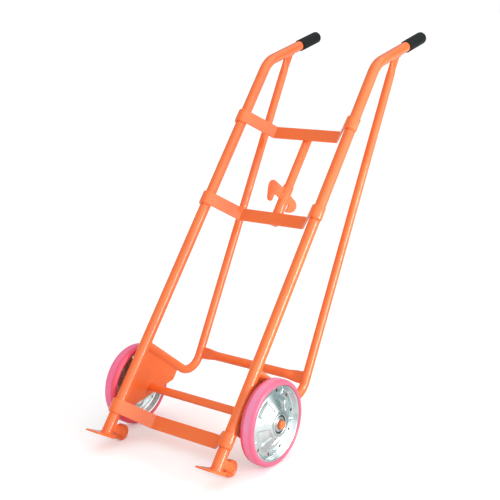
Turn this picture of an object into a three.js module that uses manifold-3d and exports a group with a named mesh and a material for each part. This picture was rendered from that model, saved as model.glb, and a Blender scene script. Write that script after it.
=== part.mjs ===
// Drum hand truck: a welded tube frame on two wheels and two small rollers, with a sliding drum hook.
// Millimetres, +Z up, front (toe side) towards -Y. The frame is drawn upright and then leaned back.
// In the frame's own axes x runs across, y runs back from the rails and z runs up along them.
import * as THREE from "three";
import { mergeVertices } from "three/addons/utils/BufferGeometryUtils.js";
import Module from "manifold-3d";

const wasm = await Module();
wasm.setup();

// Clearances
const seatGap = 0.3;
const runningGap = 0.6;
const cutOverrun = 8;

// Rails and handles
const railSpacing = 416;
const railDiameter = 34;
const railWall = 2.3;
const railHeight = 1331;
const railBendRadius = 100;
const handleTiltDegrees = 37.9;
const handleLength = 306;
const gripLength = 116;
const gripWall = 2.5;
const gripEnd = 4;
const gripEdge = 5;

// Rear struts and the tube across them
const strutDiameter = 27.2;
const strutWall = 2.3;
const strutLegHeight = 290;
const strutReach = 278;
const strutBendRadius = 60;
const strutHandleDistance = 135;
const strutFlatLength = 90;
const strutFlatThickness = 9;
const strutFlatWidth = 41;
const crossHeight = 369.5;
const crossDiameter = 28.6;
const crossWall = 2;
const crossFlatLength = 64;
const crossFlatThickness = 7;
const crossFlatWidth = 38;

// Axle and gussets
const axleHeight = 183.8;
const axleBack = 95.2;
const axleDiameter = 25;
const axleLength = 594;
const gussetThickness = 6;
const gussetRear = 188;
const gussetRearDepth = 33;
const gussetFoot = 108;
const gussetFootReach = 60;

// Straps across the rails
const strapThickness = 6;
const strapHeight = 42;
const strapSetback = 76;
const strapHalfSpan = 122;
const strapBendRadius = 9;
const lowerStrapHeight = 83;
const middleStrapHeight = 795.5;
const upperStrapHeight = 1105.5;

// Slide bar and drum hook
const barDiameter = 28.6;
const barEndInset = 8;
const sleeveDiameter = 34;
const sleeveLength = 105;
const clawThickness = 6;
const clawArmDrop = 46.5;
const clawArmHeight = 37;
const frontReach = 99;
const frontMouth = 40;
const frontTipDrop = 32;
const frontTipWidth = 23;
const rearReach = 76;
const rearMouth = 18;
const rearTipDrop = 21;

// Toes
const toeWidth = 52;
const toeReach = 62;
const toeTipThickness = 5.2;
const toeRootThickness = 13;
const toeTipDrop = 12.4;
const toeRootRise = 4.6;

// Rollers behind the toes
const rollerDiameter = 48;
const rollerWidth = 18;
const rollerBack = 57.5;
const rollerHeight = 22.5;
const forkThickness = 4;
const forkHeight = 24;
const rollerPinDiameter = 10;
const rollerPinHead = 2.5;
const rollerPinHeadDiameter = 14;

// Wheels
const wheelSpacing = 516;
const tyreDiameter = 250;
const tyreWidth = 43.5;
const tyreShoulder = 11;
const rimDiameter = 220;
const rimWidth = 38;
const discThickness = 2.3;
const lipWidth = 4.5;
const webOuterRadius = 97;
const webInnerRadius = 85;
const coneTopRadius = 40.5;
const conePeak = 27.5;
const slotRadius = 91;
const slotDiameter = 9.5;
const slotCount = 10;
const slotTurn = 0.2;
const hubDiameter = 63;
const hubLength = 61;
const hubLandBore = 44;
const bearingDiameter = 52;
const bearingWidth = 15;
const bearingRecess = 2;
const spacerDiameter = 32;
const clipThickness = 1.4;
const clipDiameter = 33;
const clipGrooveDepth = 0.9;

// Facet counts
const tubeSides = 20;
const strutSides = 16;
const wheelSides = 32;
const smallSides = 20;
const bendSteps = 6;
const flatSteps = 4;
const arcSteps = 8;

// Derived sizes
const railRadius = railDiameter / 2;
const strutRadius = strutDiameter / 2;
const railX = railSpacing / 2;
const wheelX = wheelSpacing / 2;
const strapBack = strapSetback + strapThickness;
const barBack = strapBack + seatGap + barDiameter / 2;
const handleTilt = THREE.MathUtils.degToRad(handleTiltDegrees);
const handleDirection = new THREE.Vector3(0, Math.sin(handleTilt), Math.cos(handleTilt));
const handleCorner = new THREE.Vector3(0, 0, railHeight);
const onHandle = (distance) => handleCorner.clone().addScaledVector(handleDirection, distance);
const strutCorner = new THREE.Vector3(0, strutReach, strutLegHeight);
const strutTop = onHandle(strutHandleDistance);
const strutDirection = strutTop.clone().sub(strutCorner).normalize();
const toeFront = -toeReach;
const toeRear = railRadius;

// The truck leans until its wheels and its rollers stand on one floor.
const axleBehindRoller = axleBack - rollerBack;
const axleAboveRoller = axleHeight - rollerHeight;
const lean =
  Math.acos((tyreDiameter - rollerDiameter) / 2 / Math.hypot(axleBehindRoller, axleAboveRoller)) -
  Math.atan2(axleBehindRoller, axleAboveRoller);

// Finishes
function finish(color, roughness, metalness) {
  return new THREE.MeshStandardMaterial({ color, roughness, metalness });
}
const orangePaint = finish(0xf0713a, 0.35, 0.1);
const pinkRubber = finish(0xf285b4, 0.6, 0);
const blackRubber = finish(0x24282a, 0.8, 0);
const zincPlate = finish(0xc9d3d3, 0.3, 0.9);
const bareSteel = finish(0x9aa0a2, 0.35, 0.9);

// Solids
function solidOf(geometry) {
  const bare = geometry.clone();
  bare.deleteAttribute("normal");
  bare.deleteAttribute("uv");
  const merged = mergeVertices(bare);
  return new wasm.Manifold(
    new wasm.Mesh({
      numProp: 3,
      vertProperties: merged.attributes.position.array,
      triVerts: Uint32Array.from(merged.index.array),
    }),
  );
}

function geometryOf(solid) {
  const { vertProperties, triVerts } = solid.getMesh();
  const geometry = new THREE.BufferGeometry();
  geometry.setAttribute("position", new THREE.BufferAttribute(vertProperties, 3));
  geometry.setIndex(new THREE.BufferAttribute(triVerts, 1));
  return geometry;
}

function cut(geometry, ...tools) {
  return geometryOf(tools.reduce((left, tool) => left.subtract(solidOf(tool)), solidOf(geometry)));
}

// A many-sided ring whose flats, not its corners, lie at the given radius.
const flatRadius = (radius, sides) => radius / Math.cos(Math.PI / sides);

function circlePoints(radius, sides) {
  return Array.from({ length: sides }, (_, i) => {
    const angle = (2 * Math.PI * i) / sides;
    return new THREE.Vector2(radius * Math.cos(angle), radius * Math.sin(angle));
  });
}

function circleShape(radius, boreRadius, sides) {
  const shape = new THREE.Shape(circlePoints(radius, sides));
  if (boreRadius > 0) shape.holes.push(new THREE.Path(circlePoints(boreRadius, sides)));
  return shape;
}

// A path through corners, each rounded to one bend radius, with a ring only where the tube needs one.
class BentPath extends THREE.Curve {
  constructor(corners, bendRadius, endDistances = []) {
    super();
    this.stations = [];
    corners.forEach((corner, i) => this.addCorner(corners, corner, i, bendRadius));
    const last = this.stations.pop();
    for (const distance of endDistances)
      this.stations.push({ ...last, point: last.point.clone().addScaledVector(last.tangent, -distance) });
    this.stations.push(last);
  }

  addCorner(corners, corner, i, bendRadius) {
    const before = i > 0 ? corner.clone().sub(corners[i - 1]).normalize() : null;
    const after = i < corners.length - 1 ? corners[i + 1].clone().sub(corner).normalize() : null;
    if (!before || !after) {
      this.stations.push({ point: corner.clone(), tangent: (after ?? before).clone() });
      return;
    }
    const turn = before.angleTo(after);
    const start = corner.clone().addScaledVector(before, -bendRadius * Math.tan(turn / 2));
    const inward = after.clone().addScaledVector(before, -before.dot(after)).normalize();
    for (let step = 0; step <= bendSteps; step++) {
      const angle = (turn * step) / bendSteps;
      this.stations.push({
        point: start
          .clone()
          .addScaledVector(before, bendRadius * Math.sin(angle))
          .addScaledVector(inward, bendRadius * (1 - Math.cos(angle))),
        tangent: before
          .clone()
          .multiplyScalar(Math.cos(angle))
          .addScaledVector(inward, Math.sin(angle)),
      });
    }
  }

  station(u) {
    return this.stations[Math.round(u * (this.stations.length - 1))];
  }

  getPointAt(u, target = new THREE.Vector3()) {
    return target.copy(this.station(u).point);
  }

  getTangentAt(u, target = new THREE.Vector3()) {
    return target.copy(this.station(u).tangent);
  }
}

function sweep(shape, path) {
  return new THREE.ExtrudeGeometry(shape, { extrudePath: path, steps: path.stations.length - 1 });
}

// Squashes a straight tube's end flat and keeps its wall: one axis thins and the other widens.
function squashEnd(geometry, { end, inward, length, diameter, thinAxis, thickness, wideAxis, width }) {
  const position = geometry.attributes.position;
  const point = new THREE.Vector3();
  for (let i = 0; i < position.count; i++) {
    point.fromBufferAttribute(position, i).sub(end);
    const along = point.dot(inward);
    const share = THREE.MathUtils.smoothstep(length - along, 0, length);
    if (share === 0) continue;
    const radius = point.clone().addScaledVector(inward, -along).length();
    const squash = (size) => (share * (size - diameter)) / 2 / radius;
    point.addScaledVector(thinAxis, point.dot(thinAxis) * squash(thickness));
    point.addScaledVector(wideAxis, point.dot(wideAxis) * squash(width));
    point.add(end);
    position.setXYZ(i, point.x, point.y, point.z);
  }
  return geometry;
}

// The same shape on the other side of the plane x = 0.
function mirroredAcross(geometry) {
  const mirrored = geometry.clone().scale(-1, 1, 1);
  const order = mirrored.index.array;
  for (let i = 0; i < order.length; i += 3) [order[i], order[i + 1]] = [order[i + 1], order[i]];
  return mirrored;
}

// A ring or disc turned about x, from points of [distance along x, radius] round its section.
function turned(section, sides) {
  const points = section.map(([along, radius]) => new THREE.Vector2(radius, along));
  if (THREE.ShapeUtils.area(points) < 0) points.reverse();
  points.push(points[0].clone());
  return new THREE.LatheGeometry(points, sides).rotateZ(-Math.PI / 2);
}

function ring(from, to, boreRadius, radius) {
  return turned(
    [
      [from, boreRadius],
      [from, radius],
      [to, radius],
      [to, boreRadius],
    ],
    smallSides,
  );
}

function rod(diameter, length, sides) {
  return new THREE.CylinderGeometry(diameter / 2, diameter / 2, length, sides).rotateZ(-Math.PI / 2);
}

// A plate in the plane of y and z, centred on x = 0, from a shape drawn as (back, up).
function sidePlate(shape, thickness) {
  const options = { depth: thickness, bevelEnabled: false, curveSegments: arcSteps };
  const across = new THREE.Vector3(1, 0, 0);
  const back = new THREE.Vector3(0, 1, 0);
  const up = new THREE.Vector3(0, 0, 1);
  return new THREE.ExtrudeGeometry(shape, options)
    .translate(0, 0, -thickness / 2)
    .applyMatrix4(new THREE.Matrix4().makeBasis(back, up, across));
}

function polygon(points) {
  return new THREE.Shape(points.map(([back, up]) => new THREE.Vector2(back, up)));
}

// Assembly
const model = new THREE.Group();
const truck = new THREE.Group();
truck.rotation.x = -lean;
model.add(truck);

function add(name, geometry, material, parent = truck, place = [0, 0, 0]) {
  const mesh = new THREE.Mesh(geometry, material);
  mesh.name = name;
  mesh.position.set(...place);
  parent.add(mesh);
  return mesh;
}

function onEachSide(build) {
  build("right", 1);
  build("left", -1);
}

// Toes: wedges that thicken from the tip to the foot of the rail
const toeShape = polygon([
  [toeFront, -toeTipDrop],
  [toeFront, -toeTipDrop - toeTipThickness],
  [toeRear, toeRootRise - toeRootThickness],
  [toeRear, toeRootRise],
]);
const toe = sidePlate(toeShape, toeWidth);

const toeSlope = (toeRootRise + toeTipDrop) / (toeRear - toeFront);
const toeTopAt = (back) => toeRootRise + (back - toeRear) * toeSlope;
const belowToeTop = sidePlate(
  polygon([
    [-railDiameter, toeTopAt(-railDiameter) + seatGap],
    [-railDiameter, -2 * railDiameter],
    [railDiameter, -2 * railDiameter],
    [railDiameter, toeTopAt(railDiameter) + seatGap],
  ]),
  2 * railDiameter,
);

// Rails: one bent tube a side, from the toe to the end inside the grip
const railFoot = new THREE.Vector3(0, 0, -railRadius);
const railPath = new BentPath([railFoot, handleCorner, onHandle(handleLength)], railBendRadius);
const railTube = sweep(circleShape(railRadius, railRadius - railWall, tubeSides), railPath);
const railEnvelope = sweep(circleShape(railRadius + seatGap, 0, tubeSides), railPath);
const rail = cut(railTube, belowToeTop);

// Grips: closed rubber sleeves with a rounded end
const gripBore = flatRadius(railRadius + seatGap, tubeSides);
const gripRadius = gripBore + gripWall;
const gripStart = handleLength + seatGap + gripEnd - gripLength;
const gripBottom = gripLength - gripEnd;
const grip = turned(
  [
    [0, gripBore],
    [0, gripRadius],
    [gripLength - gripEdge, gripRadius],
    [gripLength - gripEdge / 3, gripRadius - gripEdge / 3],
    [gripLength, gripRadius - gripEdge],
    [gripLength, 0],
    [gripBottom, 0],
    [gripBottom, gripBore],
  ],
  tubeSides,
)
  .rotateY(-Math.PI / 2)
  .rotateX(-handleTilt)
  .translate(...onHandle(gripStart));

// Rear struts: a leg behind the rail, a bend, and a long run up to the handle with a flattened end
const strutFlats = Array.from({ length: flatSteps }, (_, i) => strutFlatLength * (1 - i / flatSteps));
const strutFoot = new THREE.Vector3(0, 0, strutLegHeight);
const strutPath = new BentPath([strutFoot, strutCorner, strutTop], strutBendRadius, strutFlats);
const acrossAxis = new THREE.Vector3(1, 0, 0);
const strutWideAxis = strutDirection.clone().cross(acrossAxis);
const strutTube = squashEnd(
  sweep(circleShape(strutRadius, strutRadius - strutWall, strutSides), strutPath),
  {
    end: strutTop,
    inward: strutDirection.clone().negate(),
    length: strutFlatLength,
    diameter: strutDiameter,
    thinAxis: acrossAxis,
    thickness: strutFlatThickness,
    wideAxis: strutWideAxis,
    width: strutFlatWidth,
  },
);
const strutEnvelope = sweep(circleShape(strutRadius + seatGap, 0, strutSides), strutPath);
const strut = cut(strutTube, railEnvelope);

// Gussets: plates that fill the corner of rail and strut leg and carry the axle
const gussetTop = strutLegHeight - strutRadius - seatGap;
const gussetFront = railRadius + seatGap;
const gussetShape = polygon([
  [gussetFront, gussetFoot],
  [gussetFootReach, gussetFoot],
  [gussetRear, gussetTop - gussetRearDepth],
  [gussetRear, gussetTop],
  [gussetFront, gussetTop],
]);
const axleHole = flatRadius(axleDiameter / 2 + seatGap, smallSides);
const gusset = cut(
  sidePlate(gussetShape, gussetThickness),
  rod(2 * axleHole, gussetThickness + cutOverrun, smallSides).translate(0, axleBack, axleHeight),
);

// Roller forks: two plates behind each rail, with rounded ends round the pin
const forkOffset = rollerWidth / 2 + runningGap + forkThickness / 2;
const forkShape = new THREE.Shape();
forkShape.moveTo(0, rollerHeight - forkHeight / 2);
forkShape.lineTo(rollerBack, rollerHeight - forkHeight / 2);
forkShape.absarc(rollerBack, rollerHeight, forkHeight / 2, -Math.PI / 2, Math.PI / 2, false);
forkShape.lineTo(0, rollerHeight + forkHeight / 2);
const pinHole = flatRadius(rollerPinDiameter / 2 + seatGap, smallSides);

function forkPlate(offset) {
  return cut(
    sidePlate(forkShape, forkThickness).translate(offset, 0, 0),
    railEnvelope,
    rod(2 * pinHole, forkThickness + cutOverrun, smallSides).translate(offset, rollerBack, rollerHeight),
  );
}

const roller = ring(-rollerWidth / 2, rollerWidth / 2, pinHole, rollerDiameter / 2);
const pinReach = forkOffset + forkThickness / 2 + seatGap;
const rollerPin = turned(
  [
    [-pinReach - rollerPinHead, 0],
    [-pinReach - rollerPinHead, rollerPinHeadDiameter / 2],
    [-pinReach, rollerPinHeadDiameter / 2],
    [-pinReach, rollerPinDiameter / 2],
    [pinReach, rollerPinDiameter / 2],
    [pinReach, rollerPinHeadDiameter / 2],
    [pinReach + rollerPinHead, rollerPinHeadDiameter / 2],
    [pinReach + rollerPinHead, 0],
  ],
  smallSides,
);

onEachSide((side, sign) => {
  const place = [sign * railX, 0, 0];
  const pinPlace = [sign * railX, rollerBack, rollerHeight];
  add(`${side}_rail`, rail, orangePaint, truck, place);
  add(`${side}_grip`, grip, blackRubber, truck, place);
  add(`${side}_rear_strut`, strut, orangePaint, truck, place);
  add(`${side}_gusset`, gusset, orangePaint, truck, place);
  add(`${side}_toe`, toe, orangePaint, truck, place);
  add(`${side}_outer_fork`, forkPlate(sign * forkOffset), orangePaint, truck, place);
  add(`${side}_inner_fork`, forkPlate(-sign * forkOffset), orangePaint, truck, place);
  add(`${side}_roller`, roller, orangePaint, truck, pinPlace);
  add(`${side}_roller_pin`, rollerPin, orangePaint, truck, pinPlace);
});

// Tube across the struts, with both ends flattened against them
const crossOnStrut = strutCorner
  .clone()
  .addScaledVector(strutDirection, (crossHeight - strutLegHeight) / strutDirection.z);
const crossEnds = [-railX, railX].map((x) => crossOnStrut.clone().setX(x));
const crossFlats = Array.from({ length: flatSteps }, (_, i) => crossFlatLength * (1 - i / flatSteps));
const crossPath = new BentPath(crossEnds, strutBendRadius, [
  ...crossFlats.map((distance) => railSpacing - distance).reverse(),
  ...crossFlats,
]);
const crossRadius = crossDiameter / 2;
const crossTube = sweep(circleShape(crossRadius, crossRadius - crossWall, strutSides), crossPath);
crossEnds.forEach((end, i) =>
  squashEnd(crossTube, {
    end,
    inward: crossEnds[1 - i].clone().sub(end).normalize(),
    length: crossFlatLength,
    diameter: crossDiameter,
    thinAxis: strutWideAxis,
    thickness: crossFlatThickness,
    wideAxis: strutDirection,
    width: crossFlatWidth,
  }),
);
const strutEnvelopes = [-railX, railX].map((x) => strutEnvelope.clone().translate(x, 0, 0));
add("rear_cross_tube", cut(crossTube, ...strutEnvelopes), orangePaint);

// Straps: flat bars that hook round the front of each rail and run across behind it
const wrapRadius = flatRadius(railRadius + seatGap, 4 * arcSteps) + strapThickness / 2;
const strapMiddle = strapSetback + strapThickness / 2;
const strapCorner = new THREE.Vector2(strapHalfSpan, strapMiddle);
const railCentre = new THREE.Vector2(railX, 0);

// The middle line of half a strap, as points with the direction square to it.
function strapMiddleLine() {
  const toCorner = strapCorner.clone().sub(railCentre);
  const leaves = toCorner.angle() + Math.acos(wrapRadius / toCorner.length());
  const line = [];
  for (let step = 0; step <= 2 * arcSteps; step++) {
    const angle = 2 * Math.PI + ((leaves - 2 * Math.PI) * step) / (2 * arcSteps);
    const square = new THREE.Vector2(Math.cos(angle), Math.sin(angle));
    line.push({ point: railCentre.clone().addScaledVector(square, wrapRadius), square });
  }
  const legSquare = line[line.length - 1].square;
  const crossSquare = new THREE.Vector2(0, -1);
  const turn = Math.acos(legSquare.dot(crossSquare));
  const setOff = strapBendRadius * Math.tan(turn / 2);
  const bendCentre = new THREE.Vector2(strapHalfSpan - setOff, strapMiddle - strapBendRadius);
  for (let step = 0; step <= arcSteps; step++) {
    const angle = legSquare.angle() + turn * (step / arcSteps);
    const square = new THREE.Vector2(Math.cos(angle), Math.sin(angle));
    line.push({ point: bendCentre.clone().addScaledVector(square, -strapBendRadius), square });
  }
  return line;
}

const halfStrap = strapMiddleLine();
const mirrored = ({ point, square }) => ({
  point: new THREE.Vector2(-point.x, point.y),
  square: new THREE.Vector2(-square.x, square.y),
});
const wholeStrap = [...halfStrap, ...halfStrap.map(mirrored).reverse()];
const strapEdge = (offset) =>
  wholeStrap.map(({ point, square }) => point.clone().addScaledVector(square, offset));
const strapShape = new THREE.Shape([
  ...strapEdge(strapThickness / 2),
  ...strapEdge(-strapThickness / 2).reverse(),
]);
const strap = new THREE.ExtrudeGeometry(strapShape, { depth: strapHeight, bevelEnabled: false })
  .translate(0, 0, -strapHeight / 2);
add("lower_strap", strap, orangePaint, truck, [0, 0, lowerStrapHeight]);
add("middle_strap", strap, orangePaint, truck, [0, 0, middleStrapHeight]);
add("upper_strap", strap, orangePaint, truck, [0, 0, upperStrapHeight]);

// Slide bar, welded behind the middle and upper straps
const barBottom = middleStrapHeight - strapHeight / 2 + barEndInset;
const barTop = upperStrapHeight + strapHeight / 2 - barEndInset;
const upright = (geometry) => geometry.rotateY(-Math.PI / 2);
const bar = upright(rod(barDiameter, barTop - barBottom, smallSides));
add("slide_bar", bar, orangePaint, truck, [0, barBack, (barBottom + barTop) / 2]);

// Hook: a sleeve that slides and turns on the bar, with a large front claw and a small rear claw
const sleeveRest = middleStrapHeight + strapHeight / 2 + seatGap;
const sleeveBore = flatRadius(barDiameter / 2 + runningGap, smallSides);
const sleeve = upright(ring(0, sleeveLength, sleeveBore, sleeveDiameter / 2));
add("hook_sleeve", sleeve, orangePaint, truck, [0, barBack, sleeveRest]);

// Claw outlines, with the bar's axis at 0 and the arm's underside at 0, drawn as (out, up)
const clawRoot = sleeveDiameter / 2 + seatGap;
const mouthCorner = frontTipWidth / 4;
const frontMouthEnd = clawRoot + frontMouth;
const frontTipOut = frontMouthEnd + frontTipWidth;
const frontClawShape = new THREE.Shape();
frontClawShape.moveTo(clawRoot, 0);
frontClawShape.lineTo(frontMouthEnd - mouthCorner, 0);
frontClawShape.quadraticCurveTo(frontMouthEnd, 0, frontMouthEnd, -mouthCorner);
frontClawShape.lineTo(frontMouthEnd, -frontTipDrop + frontTipWidth / 2);
frontClawShape.bezierCurveTo(
  frontMouthEnd,
  -frontTipDrop,
  frontTipOut,
  -frontTipDrop - frontTipWidth / 8,
  frontTipOut + frontTipWidth / 6,
  -frontTipDrop / 2,
);
frontClawShape.lineTo(frontReach, clawArmHeight / 3);
frontClawShape.bezierCurveTo(
  frontReach + frontTipWidth / 8,
  clawArmHeight,
  frontTipOut,
  clawArmHeight,
  frontMouthEnd + frontTipWidth / 2,
  clawArmHeight,
);
frontClawShape.lineTo(clawRoot, clawArmHeight);

const rearMouthEnd = clawRoot + rearMouth;
const rearMouthTop = rearTipDrop / 4;
const rearClawShape = new THREE.Shape();
rearClawShape.moveTo(clawRoot, rearMouthTop);
rearClawShape.lineTo(rearMouthEnd, rearMouthTop);
rearClawShape.lineTo(rearMouthEnd - rearMouth / 8, rearMouthTop - rearTipDrop);
rearClawShape.quadraticCurveTo(
  rearReach - rearMouth / 2,
  rearMouthTop - rearTipDrop + rearMouth / 4,
  rearReach,
  clawArmHeight / 3,
);
rearClawShape.quadraticCurveTo(rearReach, clawArmHeight, rearReach - rearMouth, clawArmHeight);
rearClawShape.lineTo(clawRoot, clawArmHeight);

const clawPlace = [0, barBack, sleeveRest + clawArmDrop];
add("front_claw", sidePlate(frontClawShape, clawThickness).rotateZ(Math.PI), orangePaint, truck, clawPlace);
add("rear_claw", sidePlate(rearClawShape, clawThickness), orangePaint, truck, clawPlace);

// Axle, with a groove for the clip outside each wheel
const hubFace = hubLength / 2;
const bearingFace = hubFace - bearingRecess;
const clipStart = wheelX + bearingFace + seatGap;
const grooveRadius = axleDiameter / 2 - clipGrooveDepth;
const halfAxle = [
  [clipStart - seatGap, axleDiameter / 2],
  [clipStart - seatGap, grooveRadius],
  [clipStart + clipThickness + seatGap, grooveRadius],
  [clipStart + clipThickness + seatGap, axleDiameter / 2],
  [axleLength / 2, axleDiameter / 2],
  [axleLength / 2, 0],
];
const axleSection = [...halfAxle.map(([along, radius]) => [-along, radius]).reverse(), ...halfAxle];
add("axle", turned(axleSection, smallSides), orangePaint, truck, [0, axleBack, axleHeight]);

// Wheel parts, drawn about the wheel's middle plane with the outside towards +x
const lipOut = rimWidth / 2;
const rimRadius = rimDiameter / 2;
const webFace = seatGap / 2 + discThickness;
const discShift = discThickness / Math.cos(Math.atan2(conePeak - webFace, webInnerRadius - coneTopRadius));
const hubSeat = flatRadius(hubDiameter / 2 + seatGap, wheelSides);
const flangeFace = conePeak + discThickness / 2;
const wallInner = rimRadius - lipWidth;
const wallShift = discThickness * 1.2;
const discSection = [
  [webFace, webOuterRadius],
  [lipOut, wallInner],
  [lipOut, rimRadius],
  [lipOut - discThickness, rimRadius],
  [lipOut - discThickness, wallInner + wallShift / 2],
  [webFace - discThickness, webOuterRadius + wallShift / 2],
  [webFace - discThickness, webInnerRadius],
  [conePeak - discShift, coneTopRadius],
  [flangeFace - discThickness, hubSeat],
  [flangeFace, hubSeat],
  [conePeak, coneTopRadius],
  [webFace, webInnerRadius],
];
const slots = Array.from({ length: slotCount }, (_, i) =>
  rod(slotDiameter, rimWidth, arcSteps)
    .translate(0, slotRadius, 0)
    .rotateX((2 * Math.PI * (i + slotTurn)) / slotCount),
);
const outerDisc = cut(turned(discSection, wheelSides), ...slots);
const innerDisc = mirroredAcross(outerDisc);

const tyreRadius = tyreDiameter / 2;
const tyreOut = tyreWidth / 2;
const tyreFlat = tyreOut - tyreShoulder;
const lipBack = lipOut - discThickness - seatGap;
const halfTyre = [
  [0, webOuterRadius + wallShift / 2 + seatGap + discThickness],
  [lipBack, wallInner + wallShift / 2 + seatGap + discThickness],
  [lipBack, rimRadius + seatGap],
  [lipOut + seatGap, rimRadius + seatGap],
  [tyreOut - tyreShoulder / 10, rimRadius + tyreShoulder / 6],
  [tyreOut, rimRadius + tyreShoulder / 2],
  [tyreOut - tyreShoulder / 4, tyreRadius - tyreShoulder / 3],
  [tyreOut - tyreShoulder * 0.6, tyreRadius - tyreShoulder / 12],
  [tyreFlat, tyreRadius],
];
const tyre = turned(
  [...halfTyre, ...halfTyre.slice(1).map(([along, radius]) => [-along, radius]).reverse()],
  wheelSides,
);

const bearingSeat = bearingFace - bearingWidth - seatGap;
const bearingBore = flatRadius(bearingDiameter / 2, smallSides);
const halfHub = [
  [bearingSeat, hubLandBore / 2],
  [bearingSeat, bearingBore],
  [hubFace, bearingBore],
  [hubFace, hubDiameter / 2],
];
const hub = turned(
  [...halfHub, ...halfHub.map(([along, radius]) => [-along, radius]).reverse()],
  smallSides,
);

const bearingStart = bearingFace - bearingWidth;
const bearing = ring(bearingStart, bearingFace, axleHole, bearingDiameter / 2 - seatGap);
const innerBearing = bearing.clone().rotateY(Math.PI);

// Spacer between gusset and wheel, and the clip that keeps the wheel on
const spacerStart = railX + gussetThickness / 2 + seatGap;
const spacerEnd = wheelX - bearingFace - seatGap;
const spacer = ring(spacerStart, spacerEnd, axleHole, spacerDiameter / 2);
const clipBore = flatRadius(grooveRadius + seatGap, smallSides);
const clip = ring(clipStart, clipStart + clipThickness, clipBore, clipDiameter / 2);

onEachSide((side, sign) => {
  const axleGroup = new THREE.Group();
  axleGroup.position.set(0, axleBack, axleHeight);
  axleGroup.rotation.z = sign > 0 ? 0 : Math.PI;
  truck.add(axleGroup);
  add(`${side}_wheel_spacer`, spacer, orangePaint, axleGroup);
  add(`${side}_axle_clip`, clip, bareSteel, axleGroup);
  const wheelPlace = [wheelX, 0, 0];
  add(`${side}_tyre`, tyre, pinkRubber, axleGroup, wheelPlace);
  add(`${side}_outer_disc`, outerDisc, zincPlate, axleGroup, wheelPlace);
  add(`${side}_inner_disc`, innerDisc, zincPlate, axleGroup, wheelPlace);
  add(`${side}_hub`, hub, zincPlate, axleGroup, wheelPlace);
  add(`${side}_outer_bearing`, bearing, bareSteel, axleGroup, wheelPlace);
  add(`${side}_inner_bearing`, innerBearing, bareSteel, axleGroup, wheelPlace);
});

// The origin is on the floor, below the middle of the whole truck.
const bounds = new THREE.Box3().setFromObject(model, true);
const middle = bounds.getCenter(new THREE.Vector3());
truck.position.set(-middle.x, -middle.y, -bounds.min.z);

export default model;
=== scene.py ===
"""Dresses the drum hand truck: enamelled tubes and plates, pink tyres, pressed zinc wheels, black grips.

Shapes are drawn in millimetres in the truck's own axes: x across, v back from the rails and u up along
the rails. TruckAxes lays each finished mesh into the shared frame, in metres.
"""

import logging
import math
from dataclasses import dataclass, field
from enum import Enum
from functools import cache
from typing import Any, Callable, Iterable, Sequence

import bmesh
import bpy
from mathutils import Matrix, Vector
from mathutils.geometry import tessellate_polygon


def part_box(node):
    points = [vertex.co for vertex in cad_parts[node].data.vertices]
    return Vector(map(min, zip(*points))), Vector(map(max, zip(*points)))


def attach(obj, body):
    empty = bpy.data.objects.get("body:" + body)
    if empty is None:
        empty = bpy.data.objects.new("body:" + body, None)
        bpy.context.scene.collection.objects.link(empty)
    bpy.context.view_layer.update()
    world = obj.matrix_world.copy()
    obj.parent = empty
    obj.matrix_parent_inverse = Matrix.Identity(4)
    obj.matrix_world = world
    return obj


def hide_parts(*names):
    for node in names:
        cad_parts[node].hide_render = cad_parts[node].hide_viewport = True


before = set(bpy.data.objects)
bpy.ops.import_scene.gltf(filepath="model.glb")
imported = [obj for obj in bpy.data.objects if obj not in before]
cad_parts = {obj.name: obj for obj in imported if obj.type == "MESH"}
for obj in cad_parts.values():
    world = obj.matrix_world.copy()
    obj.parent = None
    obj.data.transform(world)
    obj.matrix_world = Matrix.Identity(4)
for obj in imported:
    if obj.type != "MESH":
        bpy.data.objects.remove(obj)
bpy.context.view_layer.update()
log = logging.getLogger("drum_hand_truck")

Point2 = tuple[float, float]
Point3 = tuple[float, float, float]
Corner = tuple[float, float, float]
Lay = Callable[[float, float, float], Vector]


class Labelled(Enum):
    """A choice whose name is part of the nodes' names."""

    @property
    def label(self) -> str:
        """The choice's name as the nodes spell it."""
        return self.name.lower()


class Side(Labelled):
    """The truck's two sides, as the sign of x."""

    RIGHT = 1
    LEFT = -1


class Face(Labelled):
    """The outward or inward face of a wheel or roller, as a sign from its middle plane."""

    OUTER = 1
    INNER = -1


class Body(Enum):
    """The moving bodies of the truck."""

    FRAME = "frame"
    LEFT_WHEEL = "left_wheel"
    RIGHT_WHEEL = "right_wheel"
    LEFT_ROLLER = "left_toe_roller"
    RIGHT_ROLLER = "right_toe_roller"
    SLIDER = "hook_slider"
    CLAWS = "hook_claws"


# Shared sizes that place more than one sub-assembly
RAIL_X = 208.0
RAIL_RADIUS = 17.0
AXLE_BACK = 95.2
AXLE_UP = 183.8
AXLE_RADIUS = 12.5
WHEEL_X = 258.0
TYRE_RADIUS = 125.0
ROLLER_BACK = 57.5
ROLLER_UP = 22.5
ROLLER_RADIUS = 24.0
BAR_BACK = 96.6
TOE_TOP = 4.6
TOE_SLOPE = 17.0 / 79.0
MILLIMETRE = 0.001
ACROSS = Vector((1.0, 0.0, 0.0))

# Where a look changes over from the right wheel to the left one, along X in metres
LEFT_BORDER = (0.1, -0.1)


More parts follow.
